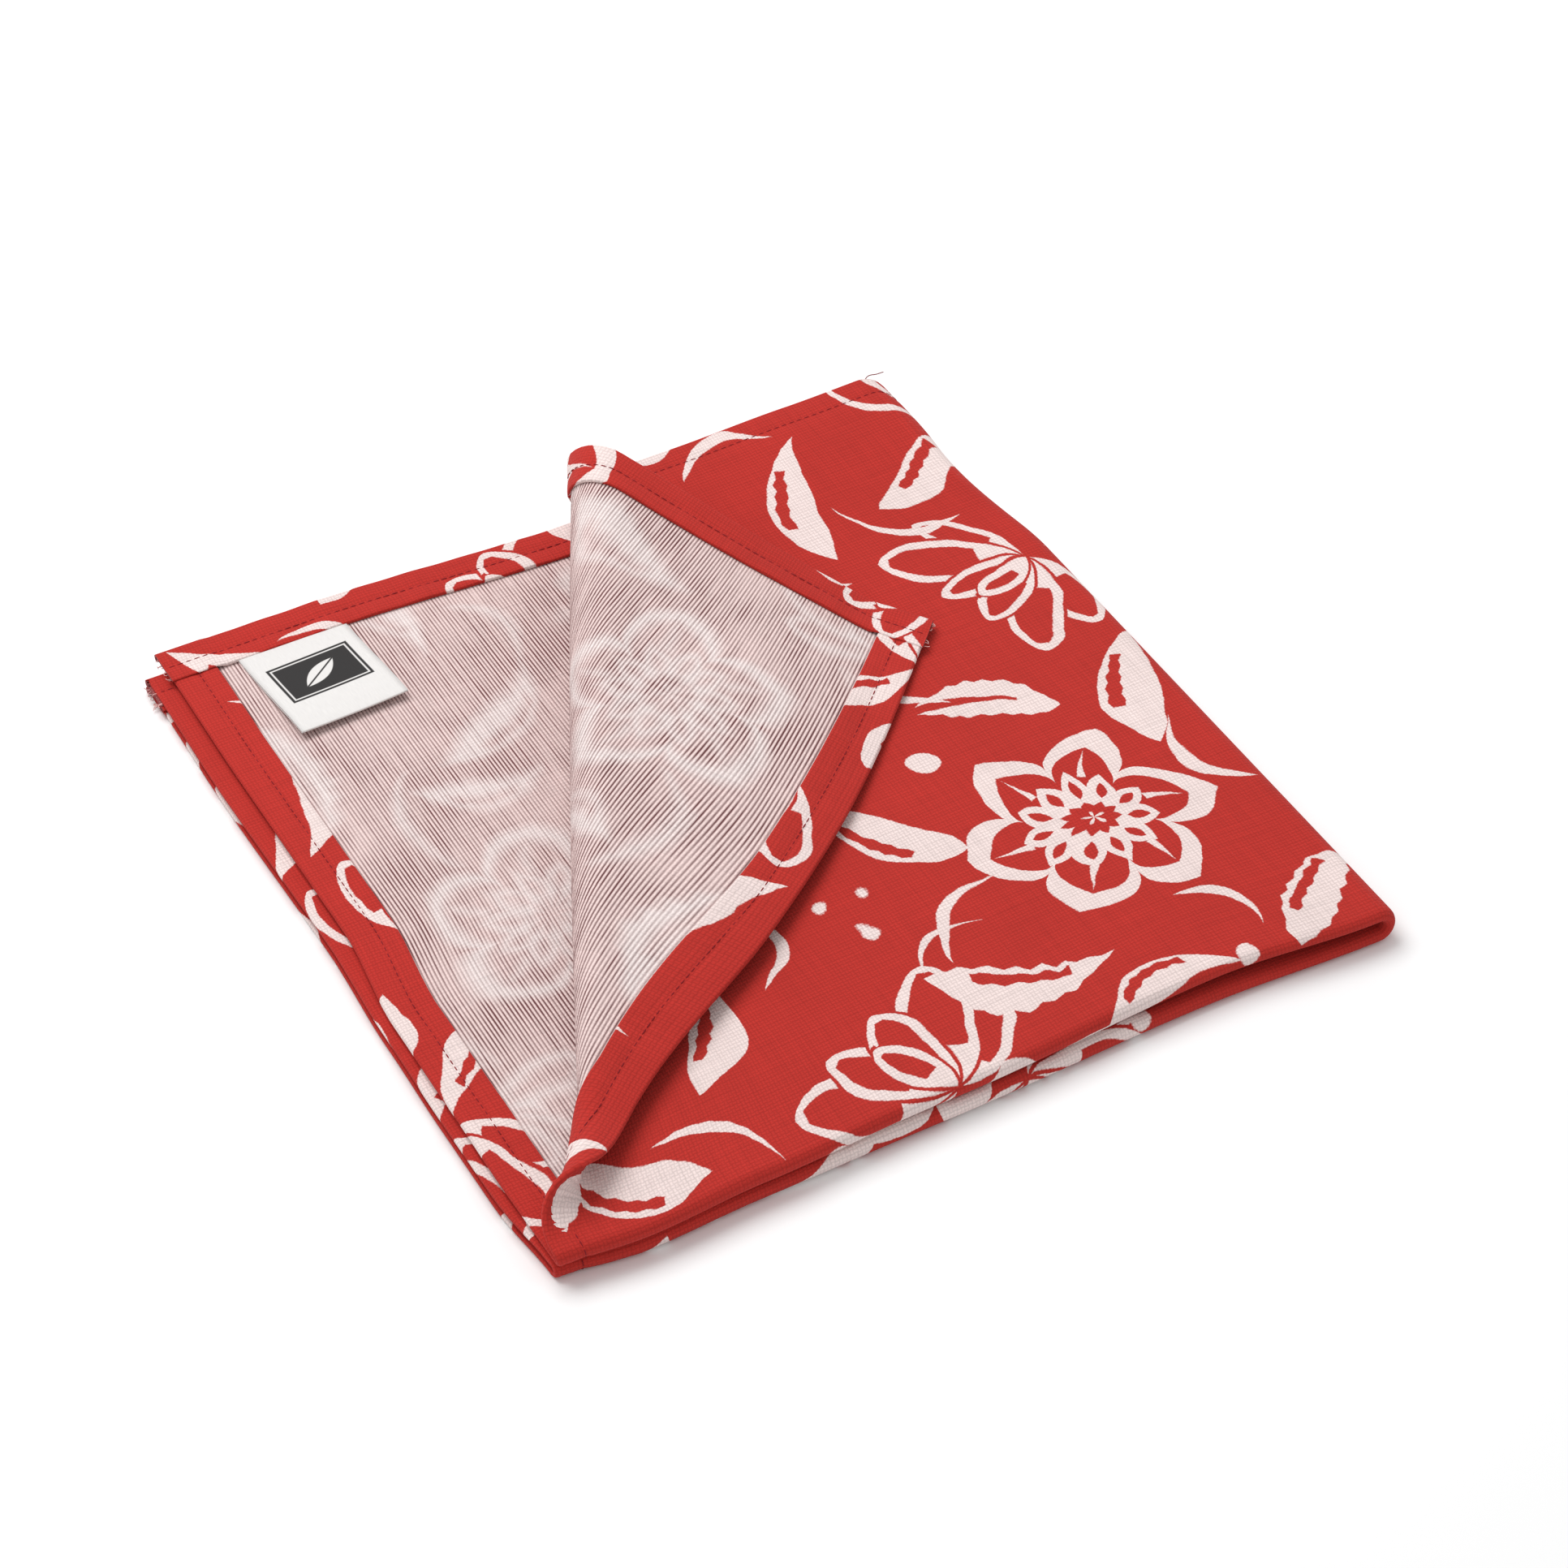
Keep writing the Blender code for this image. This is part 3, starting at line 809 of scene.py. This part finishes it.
def print_group():
    """The whole floral print. Depth is how far inside a white motif a point lies, in metres."""
    tree, net, entry, leave = new_group("floral print", {"Flat": "Vector"}, {"Depth": "Float"})
    flat = entry["Flat"]
    for scale, reach in ((38.0, 9 * MM), (240.0, 0.9 * MM)):
        wander = net.noise(entry["Flat"], scale, detail=1.0, output="Color")
        flat = net.vector("MULTIPLY_ADD", wander, (reach,) * 3, flat)
    own_inputs = ("Width", "Bend", "Tooth", "Hollow", "Vein")
    kinds = (
        (motif_group("blossom motif", blossom, "Petals", "Inner", "Twist"), BLOSSOMS),
        (motif_group("fan motif", fan, "Width"), FANS),
        (motif_group("leaf motif", leaf, *own_inputs), LEAVES + STEMS),
        (motif_group("berry motif", berry), BERRIES),
    )
    depth = None
    for motif, rows in kinds:
        for row in rows:
            found = net.group(motif, "Depth", flat=flat, **row)
            depth = depth.high(found) if depth else found
    net.give(leave["Depth"], depth)
    return tree


def weave_group():
    """Plain weave. Height is 0 to 1 over the threads, and Slub is uneven thread colour."""
    inputs = {"Flat": "Vector", "Pitch": "Float"}
    outputs = {"Height": "Float", "Slub": "Float"}
    tree, net, entry, leave = new_group("plain weave", inputs, outputs)
    warp, weft = net.split(entry["Flat"])
    turn = math.pi / entry["Pitch"]
    across, along = (warp * turn).sine(), (weft * turn).sine()
    over = (across * along).line(2.5, 0.5).clamped()
    net.give(leave["Height"], abs(across) * over + abs(along) * (1.0 - over))
    warp_slub, weft_slub = (
        net.noise(net.vector("MULTIPLY", entry["Flat"], stretch), 1.0)
        for stretch in ((1100.0, 45.0, 1.0), (45.0, 1100.0, 1.0))
    )
    net.give(leave["Slub"], (warp_slub + weft_slub) * 0.5)
    return tree


def new_material(name):
    """A material with little gloss: the material, its Net and its Principled BSDF."""
    material = bpy.data.materials.new(name)
    material.use_nodes = True
    shader = material.node_tree.nodes["Principled BSDF"]
    shader.inputs["Specular IOR Level"].default_value = 0.12
    return material, Net(material.node_tree), shader


def finish_cloth(net, shader, colour, height, strength):
    """Wires a matt cotton: its colour, and its thread relief as bump."""
    net.give(shader.inputs["Base Color"], colour)
    shader.inputs["Roughness"].default_value = 0.88
    net.bump(shader, height, strength, 0.3 * MM)


def printed_material(cloth, prints, weave):
    """The right side: red ground, white motifs, both broken up by the threads, with painted shade
    in the gaps between them.
    """
    material, net, shader = new_material("printed cotton")
    flat = net.flat()
    depth = net.group(prints, "Depth", flat=flat)
    height, slub = net.threads(weave, flat, cloth.pitch)
    white = ((depth + height.line(0.16 * MM, -0.08 * MM)) / (0.35 * MM) + 0.5).clamped()
    ground = net.mix(white, cloth.red, cloth.white)
    blotch = net.noise(flat, 28.0, detail=3.0).line(0.14, 0.93)
    # Painted shade: the weave height darkens the colour in the gaps between the threads. Slub and
    # blotch are the cloth's own uneven tone.
    gap_shade_slub_and_blotch = height.line(0.26, 0.80) * slub.line(0.5, 0.75) * blotch
    finish_cloth(net, shader, net.scale(ground, gap_shade_slub_and_blotch), height, 0.45)
    shader.inputs["Sheen Weight"].default_value = 0.03
    shader.inputs["Sheen Roughness"].default_value = 0.6
    return material


def wrong_material(cloth, prints, weave):
    """The wrong side: pale cloth with fine dark ribs and the print showing through faintly."""
    material, net, shader = new_material("wrong side")
    flat = net.flat()
    through = (net.group(prints, "Depth", flat=flat) / (5 * MM) + 0.5).clamped()
    height, slub = net.threads(weave, flat, cloth.pitch)
    rib = (net.split(flat)[0] * (2 * math.pi / cloth.rib)).sine().line(0.5, 0.5)
    uneven = net.noise(net.vector("MULTIPLY", flat, (860.0, 50.0, 1.0)), 1.0, detail=3.0)
    patch = net.noise(flat, 30.0, detail=4.0)
    strength = through.line(-0.38, 0.88) * patch.line(1.6, 0.2) * uneven.line(1.8, 0.1)
    line = (rib**1.4 * strength).clamped()
    pale = net.mix(through, cloth.blush, cloth.pale)
    shaded = net.scale(net.mix(line, pale, cloth.rib_colour), slub.line(0.5, 0.75))
    finish_cloth(net, shader, shaded, rib * -0.7 + height, 0.5)
    return material


def raw_material(cloth, weave):
    """Cut ends of the hems' layers."""
    material, net, shader = new_material("raw edge")
    height, _ = net.threads(weave, net.flat(), cloth.pitch)
    # Painted shade: the weave height darkens the cut ends in the gaps between their threads.
    shaded = net.scale(tuple(cloth.raw), height.line(0.5, 0.45))
    finish_cloth(net, shader, shaded, height, 0.6)
    return material


def thread_material(name, colour):
    """Twisted sewing thread."""
    material, net, shader = new_material(name)
    grain = net.noise(net.call("ShaderNodeTexCoord", "Object", {}), 2600.0)
    net.give(shader.inputs["Base Color"], net.scale(tuple(colour), grain.line(0.8, 0.6)))
    shader.inputs["Roughness"].default_value = 0.6
    return material


def label_material(label):
    """White satin tape with a plain dark woven panel that holds a leaf."""
    material, net, shader = new_material("satin tape")
    flat = net.flat()
    x, y = net.split(flat)
    reach_x = abs(x - label.width / 2) - label.mark_width / 2
    reach_y = abs(y - label.mark_up) - label.mark_height / 2
    panel = -reach_x.high(reach_y)
    border = MARK_LINE["half"] - abs(panel - MARK_LINE["inset"])
    own = net.vector("SUBTRACT", flat, (label.width / 2, label.mark_up, 0.0))
    along, aside = net.split(net.spin(own, MARK_LEAF_TURN))
    share = along / MARK_LEAF["half_length"]
    outline = (1.0 - share * share) * MARK_LEAF["half_width"] - abs(aside)
    drawn = outline.low(abs(aside) - MARK_LEAF["half_vein"]).high(border)
    mask = (panel.low(-drawn) / MARK_BLUR + 0.5).clamped()
    colour = net.mix(mask, label.white, label.ink)
    satin = net.noise(net.vector("MULTIPLY", flat, (5200.0, 300.0, 1.0)), 1.0)
    net.give(shader.inputs["Base Color"], net.scale(colour, satin.line(0.24, 0.88)))
    net.give(shader.inputs["Roughness"], satin.line(0.3, 0.32))
    net.bump(shader, satin, 0.25, 0.1 * MM)
    return material


# Stitches


def stitch_tree():
    """Stitches laid end to end along lines, standing out along the attribute "out"."""
    lengths = ("Pitch", "Length", "Thickness")
    inputs = {"Lines": "Geometry", **dict.fromkeys(lengths, "Float")}
    inputs.update(Seed="Int", Thread="Material")
    name, outputs = "stitches along lines", {"Stitches": "Geometry"}
    tree, net, entry, leave = new_group(name, inputs, outputs, "GeometryNodeTree")
    for label in lengths:
        tree.interface.items_tree[label].subtype = "DISTANCE"
    curve = net.call("GeometryNodeMeshToCurve", "Curve", dict(Mesh=entry["Lines"]))
    values = dict(Curve=curve, Length=entry["Pitch"])
    points = net.call("GeometryNodeResampleCurve", "Curve", values, mode="LENGTH")
    named = "GeometryNodeInputNamedAttribute"
    out = net.call(named, "Attribute", dict(Name="out"), data_type="FLOAT_VECTOR")
    align = "FunctionNodeAlignRotationToVector"
    tangent = net.call("GeometryNodeInputTangent", "Tangent", {})
    along = net.call(align, "Rotation", dict(Vector=tangent), axis="X")
    values = dict(Rotation=along, Vector=out)
    turned = net.call(align, "Rotation", values, axis="Z", pivot_axis="X")
    bead = net.call("GeometryNodeMeshUVSphere", "Mesh", dict(Segments=6, Rings=4, Radius=0.5))
    values = dict(Min=0.9, Max=1.06, Seed=entry["Seed"])
    vary = net.call("FunctionNodeRandomValue", 1, values, data_type="FLOAT")
    thick = entry["Thickness"]
    size = net.join(entry["Length"] * vary, thick, thick)
    values = dict(Points=points, Instance=bead, Rotation=turned, Scale=size)
    made = net.call("GeometryNodeInstanceOnPoints", "Instances", values)
    for kind in ("GeometryNodeRealizeInstances", "GeometryNodeSetShadeSmooth"):
        made = net.call(kind, "Geometry", dict(Geometry=made))
    values = dict(Geometry=made, Material=entry["Thread"])
    net.give(leave["Stitches"], net.call("GeometryNodeSetMaterial", "Geometry", values))
    return tree


def flat_mesh(thing):
    """A plain mesh of an object as its modifiers leave it."""
    graph = bpy.context.evaluated_depsgraph_get()
    return bpy.data.meshes.new_from_object(thing.evaluated_get(graph))


def line_object(name, lines):
    """An object whose loose edges follow the lines, with each point's way out."""
    points = np.concatenate([places for places, _ in lines])
    outs = np.concatenate([out for _, out in lines])
    edges, start = [], 0
    for places, _ in lines:
        edges += [(start + step, start + step + 1) for step in range(len(places) - 1)]
        start += len(places)
    mesh = bpy.data.meshes.new(name)
    mesh.from_pydata(points, edges, [])
    mesh.attributes.new("out", "FLOAT_VECTOR", "POINT").data.foreach_set("vector", outs.ravel())
    return link(bpy.data.objects.new(name, mesh))


def run_tree(thing, tree, values):
    """Applies a Geometry Nodes tree with these inputs and leaves a plain mesh."""
    modifier = thing.modifiers.new("Stitches", "NODES")
    modifier.node_group = tree
    for item in tree.interface.items_tree:
        if item.in_out == "INPUT" and item.name in values:
            modifier[item.identifier] = values[item.name]
    bpy.context.view_layer.update()
    made = flat_mesh(thing)
    thing.modifiers.remove(modifier)
    thing.data = made
    return thing


def link(thing):
    bpy.context.scene.collection.objects.link(thing)
    return thing


def tube(name, routes, radius, material):
    """Thin threads through lists of points, as one mesh."""
    curve = bpy.data.curves.new(name, "CURVE")
    curve.dimensions = "3D"
    curve.bevel_depth = radius
    curve.bevel_resolution = 1
    curve.use_fill_caps = True
    curve.resolution_u = 4
    for route in routes:
        spline = curve.splines.new("BEZIER")
        spline.bezier_points.add(len(route) - 1)
        for point, spot in zip(spline.bezier_points, route):
            point.co = spot
            point.handle_left_type = point.handle_right_type = "AUTO"
    drawn = link(bpy.data.objects.new(name + ".line", curve))
    mesh = flat_mesh(drawn)
    bpy.data.objects.remove(drawn)
    mesh.materials.clear()
    mesh.materials.append(material)
    mesh.shade_smooth()
    return link(bpy.data.objects.new(name, mesh))


# Settings


def colour(name, description, default):
    return FloatVectorProperty(
        name=name, description=description, subtype="COLOR", size=3, min=0, max=1, default=default
    )


def length(name, description, millimetres):
    size = millimetres * MM
    return FloatProperty(
        name=name, description=description, default=size, min=0, unit="LENGTH", precision=5
    )


class NapkinCloth(bpy.types.PropertyGroup):
    thickness: length("Cloth thickness", "Of one layer of the cotton", 0.5)
    hem_thickness: length("Hem thickness", "Of the cloth turned twice", 1.8)
    hem_width: length("Hem width", "From the edge to the hem's inner fold", 13.6)
    seam: length("Seam distance", "From the edge to the stitch line", 7.6)
    dent: length("Seam dent", "How far the stitches draw the cloth in", 0.22)
    dent_width: length("Dent width", "Half the width of that dent", 1.5)
    mouth: length("Mouth", "Depth of the opening at a hem's end", 2.5)
    overhang: length("Hem overhang", "How far the last hems pass the corners", 0.6)
    pucker: length("Pucker", "How unevenly the hem swells along its run", 0.09)
    pucker_length: length("Pucker length", "From one swelling to the next", 17)
    pitch: length("Thread pitch", "Of the plain weave", 1.15)
    rib: length("Rib pitch", "Of the ribs on the wrong side", 1.15)
    red: colour("Ground", "The print's ground colour", (0.455, 0.028, 0.021))
    white: colour("Motifs", "The print's motif colour", (0.79, 0.655, 0.63))
    pale: colour("Wrong side", "Under the motifs", (0.84, 0.735, 0.715))
    blush: colour("Wrong side, dyed", "Under the ground colour", (0.82, 0.645, 0.62))
    rib_colour: colour("Ribs", "Dark threads of the wrong side", (0.14, 0.05, 0.052))
    raw: colour("Raw edge", "Cut ends of the hems' layers", (0.42, 0.12, 0.12))


class NapkinStitches(bpy.types.PropertyGroup):
    pitch: length("Pitch", "From one stitch to the next", 2.6)
    length: length("Length", "Of one stitch", 2.3)
    thickness: length("Thickness", "Of the sewing thread", 0.42)
    seed: IntProperty(name="Seed", description="For the stitches' uneven lengths", default=3)
    thread: colour("Thread", "Colour of the sewing thread", (0.22, 0.012, 0.016))


class NapkinLabel(bpy.types.PropertyGroup):
    width: length("Width", "Of the tape", 34)
    length: length("Length", "That shows, from the hem to the fold", 36)
    ply: length("Ply", "Thickness of the tape", 0.25)
    lift: length("Lift", "How far the free end rises", 1.7)
    mark_up: length("Mark's middle", "Distance from the hem", 14.5)
    mark_width: length("Mark's width", "Of the woven panel", 26)
    mark_height: length("Mark's height", "Of the woven panel", 18)
    white: colour("Tape", "Colour of the satin", (0.71, 0.69, 0.675))
    ink: colour("Mark", "Colour of the woven panel", (0.03, 0.028, 0.028))


class NapkinStage(bpy.types.PropertyGroup):
    azimuth: FloatProperty(
        name="Azimuth", description="Of the camera", default=math.radians(-29.11), unit="ROTATION"
    )
    elevation: FloatProperty(
        name="Elevation", description="Of the camera", default=math.radians(42.13), unit="ROTATION"
    )
    distance: length("Distance", "From the camera to what it looks at", 1279)
    focal_length: FloatProperty(
        name="Focal length", description="On a 36 mm sensor, in mm", default=104.35
    )
    key_power: FloatProperty(name="Key power", description="Of the softbox, in W", default=15.5)
    sky: FloatProperty(name="Sky", description="Strength of the even light", default=0.65)


# Operators


class NAPKIN_OT_cloth(bpy.types.Operator):
    """Makes the printed cloth with its turned hems, folded and rolled"""

    bl_idname = "napkin.cloth"
    bl_label = "Make the cloth"

    def execute(self, context):
        cloth = context.scene.napkin_cloth
        shell = Shell()
        a_lines, b_lines = add_body_cloth(shell, cloth)
        for sign in (-1, 1):
            add_hem(shell, cloth, b_lines, along_a=False, sign=sign)
            add_hem(shell, cloth, a_lines, along_a=True, sign=sign)
        mesh = shell.mesh("napkin_cloth")
        prints, weave = print_group(), weave_group()
        mesh.materials.append(printed_material(cloth, prints, weave))
        mesh.materials.append(wrong_material(cloth, prints, weave))
        mesh.materials.append(raw_material(cloth, weave))
        napkin = link(bpy.data.objects.new("napkin_cloth", mesh))
        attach(napkin, BODY)
        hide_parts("napkin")
        return {"FINISHED"}


class NAPKIN_OT_stitches(bpy.types.Operator):
    """Sews the hems with a line of stitches on both sides"""

    bl_idname = "napkin.stitches"
    bl_label = "Sew the hems"

    def execute(self, context):
        sizes = context.scene.napkin_stitches
        lines = line_object("hem_stitches", seam_lines(context.scene.napkin_cloth))
        values = {
            "Pitch": sizes.pitch,
            "Length": sizes.length,
            "Thickness": sizes.thickness,
            "Seed": sizes.seed,
            "Thread": thread_material("sewing thread", sizes.thread),
        }
        stitches = run_tree(lines, stitch_tree(), values)
        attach(stitches, BODY)
        return {"FINISHED"}


class NAPKIN_OT_threads(bpy.types.Operator):
    """Adds the frayed ends of the hems and the loose thread end at the back"""

    bl_idname = "napkin.threads"
    bl_label = "Leave thread ends"

    def execute(self, context):
        cloth = context.scene.napkin_cloth
        random = np.random.default_rng(5)
        routes = []
        for a_sign, b_sign in ((1, -1), (1, 1), (-1, 1), (-1, -1)):
            for _ in range(FRAY_STRANDS):
                depth = np.array([cloth.hem_thickness * random.uniform(*FRAY_DEPTH)])
                b = np.array([b_sign * (HALF_B - random.uniform(*FRAY_INWARD) * MM)])
                a = a_sign * (HALF_A + cloth.overhang)
                reach = a_sign * random.uniform(*FRAY_REACH) * MM
                start = place(np.array([a - reach]), b, depth)[0]
                middle = place(np.array([a + reach * 0.5]), b, depth)[0]
                stray = random.uniform(-1.0, 1.0, 3) * (FRAY_STRAY * MM)
                routes.append([start, middle, middle + stray])
        cotton = thread_material("frayed cotton", FRAY_COLOUR)
        fray = tube("frayed_ends", routes, FRAY_RADIUS * MM, cotton)
        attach(fray, BODY)

        a, inward = np.array(TAIL_START) * MM
        corner = fold_cloth(np.array([a]), np.array([inward - HALF_B]))[0]
        tail = [corner + np.array(step) * MM for step in TAIL_STEPS]
        thread = thread_material("loose thread", context.scene.napkin_stitches.thread)
        loose = tube("seam_thread_end", [tail], TAIL_RADIUS * MM, thread)
        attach(loose, BODY)
        return {"FINISHED"}


class NAPKIN_OT_label(bpy.types.Operator):
    """Makes the folded satin label sewn under the second layer's hem"""

    bl_idname = "napkin.label"
    bl_label = "Make the label"

    def execute(self, context):
        label = context.scene.napkin_label
        cloth = context.scene.napkin_cloth
        base = MIDDLE + PAIR_GAP + cloth.thickness + label.ply / 2 + LABEL_GAP
        bend = label.ply
        reach = label.length - bend
        runs = np.linspace(-LABEL_TUCK, reach, 29)
        low = base + label.lift * ease(runs / reach) ** 1.5
        swell = LABEL_SWELL * np.sin(math.pi * np.maximum(runs, 0.0) / reach)
        lower = np.stack([runs, low], axis=1)
        upper = np.stack([runs, low + 2 * bend + swell], axis=1)
        turn = np.linspace(-math.pi / 2, math.pi / 2, 7)[1:-1]
        tip = np.stack([reach + bend * np.cos(turn), low[-1] + bend + bend * np.sin(turn)], axis=1)
        section = np.concatenate([lower, tip, upper[::-1]])
        sides = np.linspace(0.0, label.width, 18)
        cup = LABEL_CUP * (2 * sides / label.width - 1) ** 2
        across, run = np.meshgrid(sides, section[:, 0], indexing="ij")
        up = section[None, :, 1] + cup[:, None] * np.clip(run / reach, 0, 1)
        shell = Shell()
        flats = np.stack([across, run], axis=-1)
        shell.grid(shell.add(np.stack([across, -run, up], axis=-1), flats), 0)
        mesh = shell.mesh("label_tape")
        mesh.materials.append(label_material(label))
        tape = link(bpy.data.objects.new("label_tape", mesh))
        wall = tape.modifiers.new("Ply", "SOLIDIFY")
        wall.thickness = label.ply
        wall.offset = 0.0
        tape.data = flat_mesh(tape)
        tape.modifiers.remove(wall)
        corner = Vector(LABEL_CORNER) - Vector(PLAN_CENTRE)
        turned = Matrix.Rotation(LABEL_TURN, 4, "Z")
        tape.data.transform(Matrix.Translation(corner.to_3d()) @ turned)
        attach(tape, BODY)
        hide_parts("label")
        return {"FINISHED"}


class NAPKIN_OT_declare(bpy.types.Operator):
    """Does nothing: the cut sizes of the cloth and the label are not stated"""

    bl_idname = "napkin.declare"
    bl_label = "State the cut sizes"

    def execute(self, context):
        return {"FINISHED"}


class NAPKIN_OT_stage(bpy.types.Operator):
    """Sets the pale floor, the soft light and the camera"""

    bl_idname = "napkin.stage"
    bl_label = "Set the stage"

    def execute(self, context):
        stage = context.scene.napkin_stage
        mesh = bpy.data.meshes.new("floor")
        half = FLOOR_HALF
        corners = ((-half, -half), (half, -half), (half, half), (-half, half))
        mesh.from_pydata([(x, y, -FLOOR_DROP) for x, y in corners], [], [(0, 1, 2, 3)])
        material, _, shader = new_material("pale floor")
        shader.inputs["Base Color"].default_value = (FLOOR_GREY, FLOOR_GREY, FLOOR_GREY, 1.0)
        shader.inputs["Roughness"].default_value = 0.9
        mesh.materials.append(material)
        link(bpy.data.objects.new("floor", mesh))

        world = bpy.data.worlds.new("studio")
        world.use_nodes = True
        background = world.node_tree.nodes["Background"]
        background.inputs["Color"].default_value = (1.0, 1.0, 1.0, 1.0)
        background.inputs["Strength"].default_value = stage.sky
        context.scene.world = world
        context.scene.view_settings.view_transform = "Standard"

        light = bpy.data.lights.new("softbox", "AREA")
        light.shape = "RECTANGLE"
        light.size, light.size_y = SOFTBOX_SIZE
        light.energy = stage.key_power
        box = link(bpy.data.objects.new("softbox", light))
        box.location = SOFTBOX_PLACE
        box.rotation_euler = (-box.location).to_track_quat("-Z", "Y").to_euler()

        low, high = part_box("napkin")
        middle = (low + high) / 2
        target = Vector((middle.x + AIM_FROM_MIDDLE[0], middle.y + AIM_FROM_MIDDLE[1], 0.0))
        turn, level = stage.azimuth, math.cos(stage.elevation)
        back = Vector((math.sin(turn) * level, -math.cos(turn) * level, math.sin(stage.elevation)))
        lens = bpy.data.cameras.new("camera")
        lens.sensor_width = 36.0
        lens.lens = stage.focal_length
        lens.clip_end = 50.0
        camera = link(bpy.data.objects.new("camera", lens))
        camera.location = target + stage.distance * back
        camera.rotation_euler = back.to_track_quat("Z", "Y").to_euler()
        context.scene.camera = camera
        return {"FINISHED"}


class NAPKIN_PT_panel(bpy.types.Panel):
    bl_idname = "NAPKIN_PT_panel"
    bl_label = "Folded napkin"
    bl_space_type = "VIEW_3D"
    bl_region_type = "UI"
    bl_category = "Napkin"

    def draw(self, context):
        layout = self.layout
        for name in GROUPS:
            settings = getattr(context.scene, name)
            box = layout.box()
            for prop in settings.bl_rna.properties:
                if prop.identifier not in ("rna_type", "name"):
                    box.prop(settings, prop.identifier)
        for operator in OPERATORS:
            layout.operator(operator.bl_idname)


OPERATORS = (
    NAPKIN_OT_stage,
    NAPKIN_OT_cloth,
    NAPKIN_OT_stitches,
    NAPKIN_OT_threads,
    NAPKIN_OT_label,
    NAPKIN_OT_declare,
)
GROUPS = {
    "napkin_cloth": NapkinCloth,
    "napkin_stitches": NapkinStitches,
    "napkin_label": NapkinLabel,
    "napkin_stage": NapkinStage,
}


def register():
    for name, group in GROUPS.items():
        bpy.utils.register_class(group)
        setattr(bpy.types.Scene, name, PointerProperty(type=group))
    for operator in OPERATORS:
        bpy.utils.register_class(operator)
    bpy.utils.register_class(NAPKIN_PT_panel)


def unregister():
    bpy.utils.unregister_class(NAPKIN_PT_panel)
    for operator in reversed(OPERATORS):
        bpy.utils.unregister_class(operator)
    for name, group in GROUPS.items():
        delattr(bpy.types.Scene, name)
        bpy.utils.unregister_class(group)


def main():
    register()
    bpy.ops.napkin.stage()
    bpy.ops.napkin.cloth()
    bpy.ops.napkin.stitches()
    bpy.ops.napkin.threads()
    bpy.ops.napkin.label()
    bpy.ops.napkin.declare()


if __name__ == "__main__":
    main()
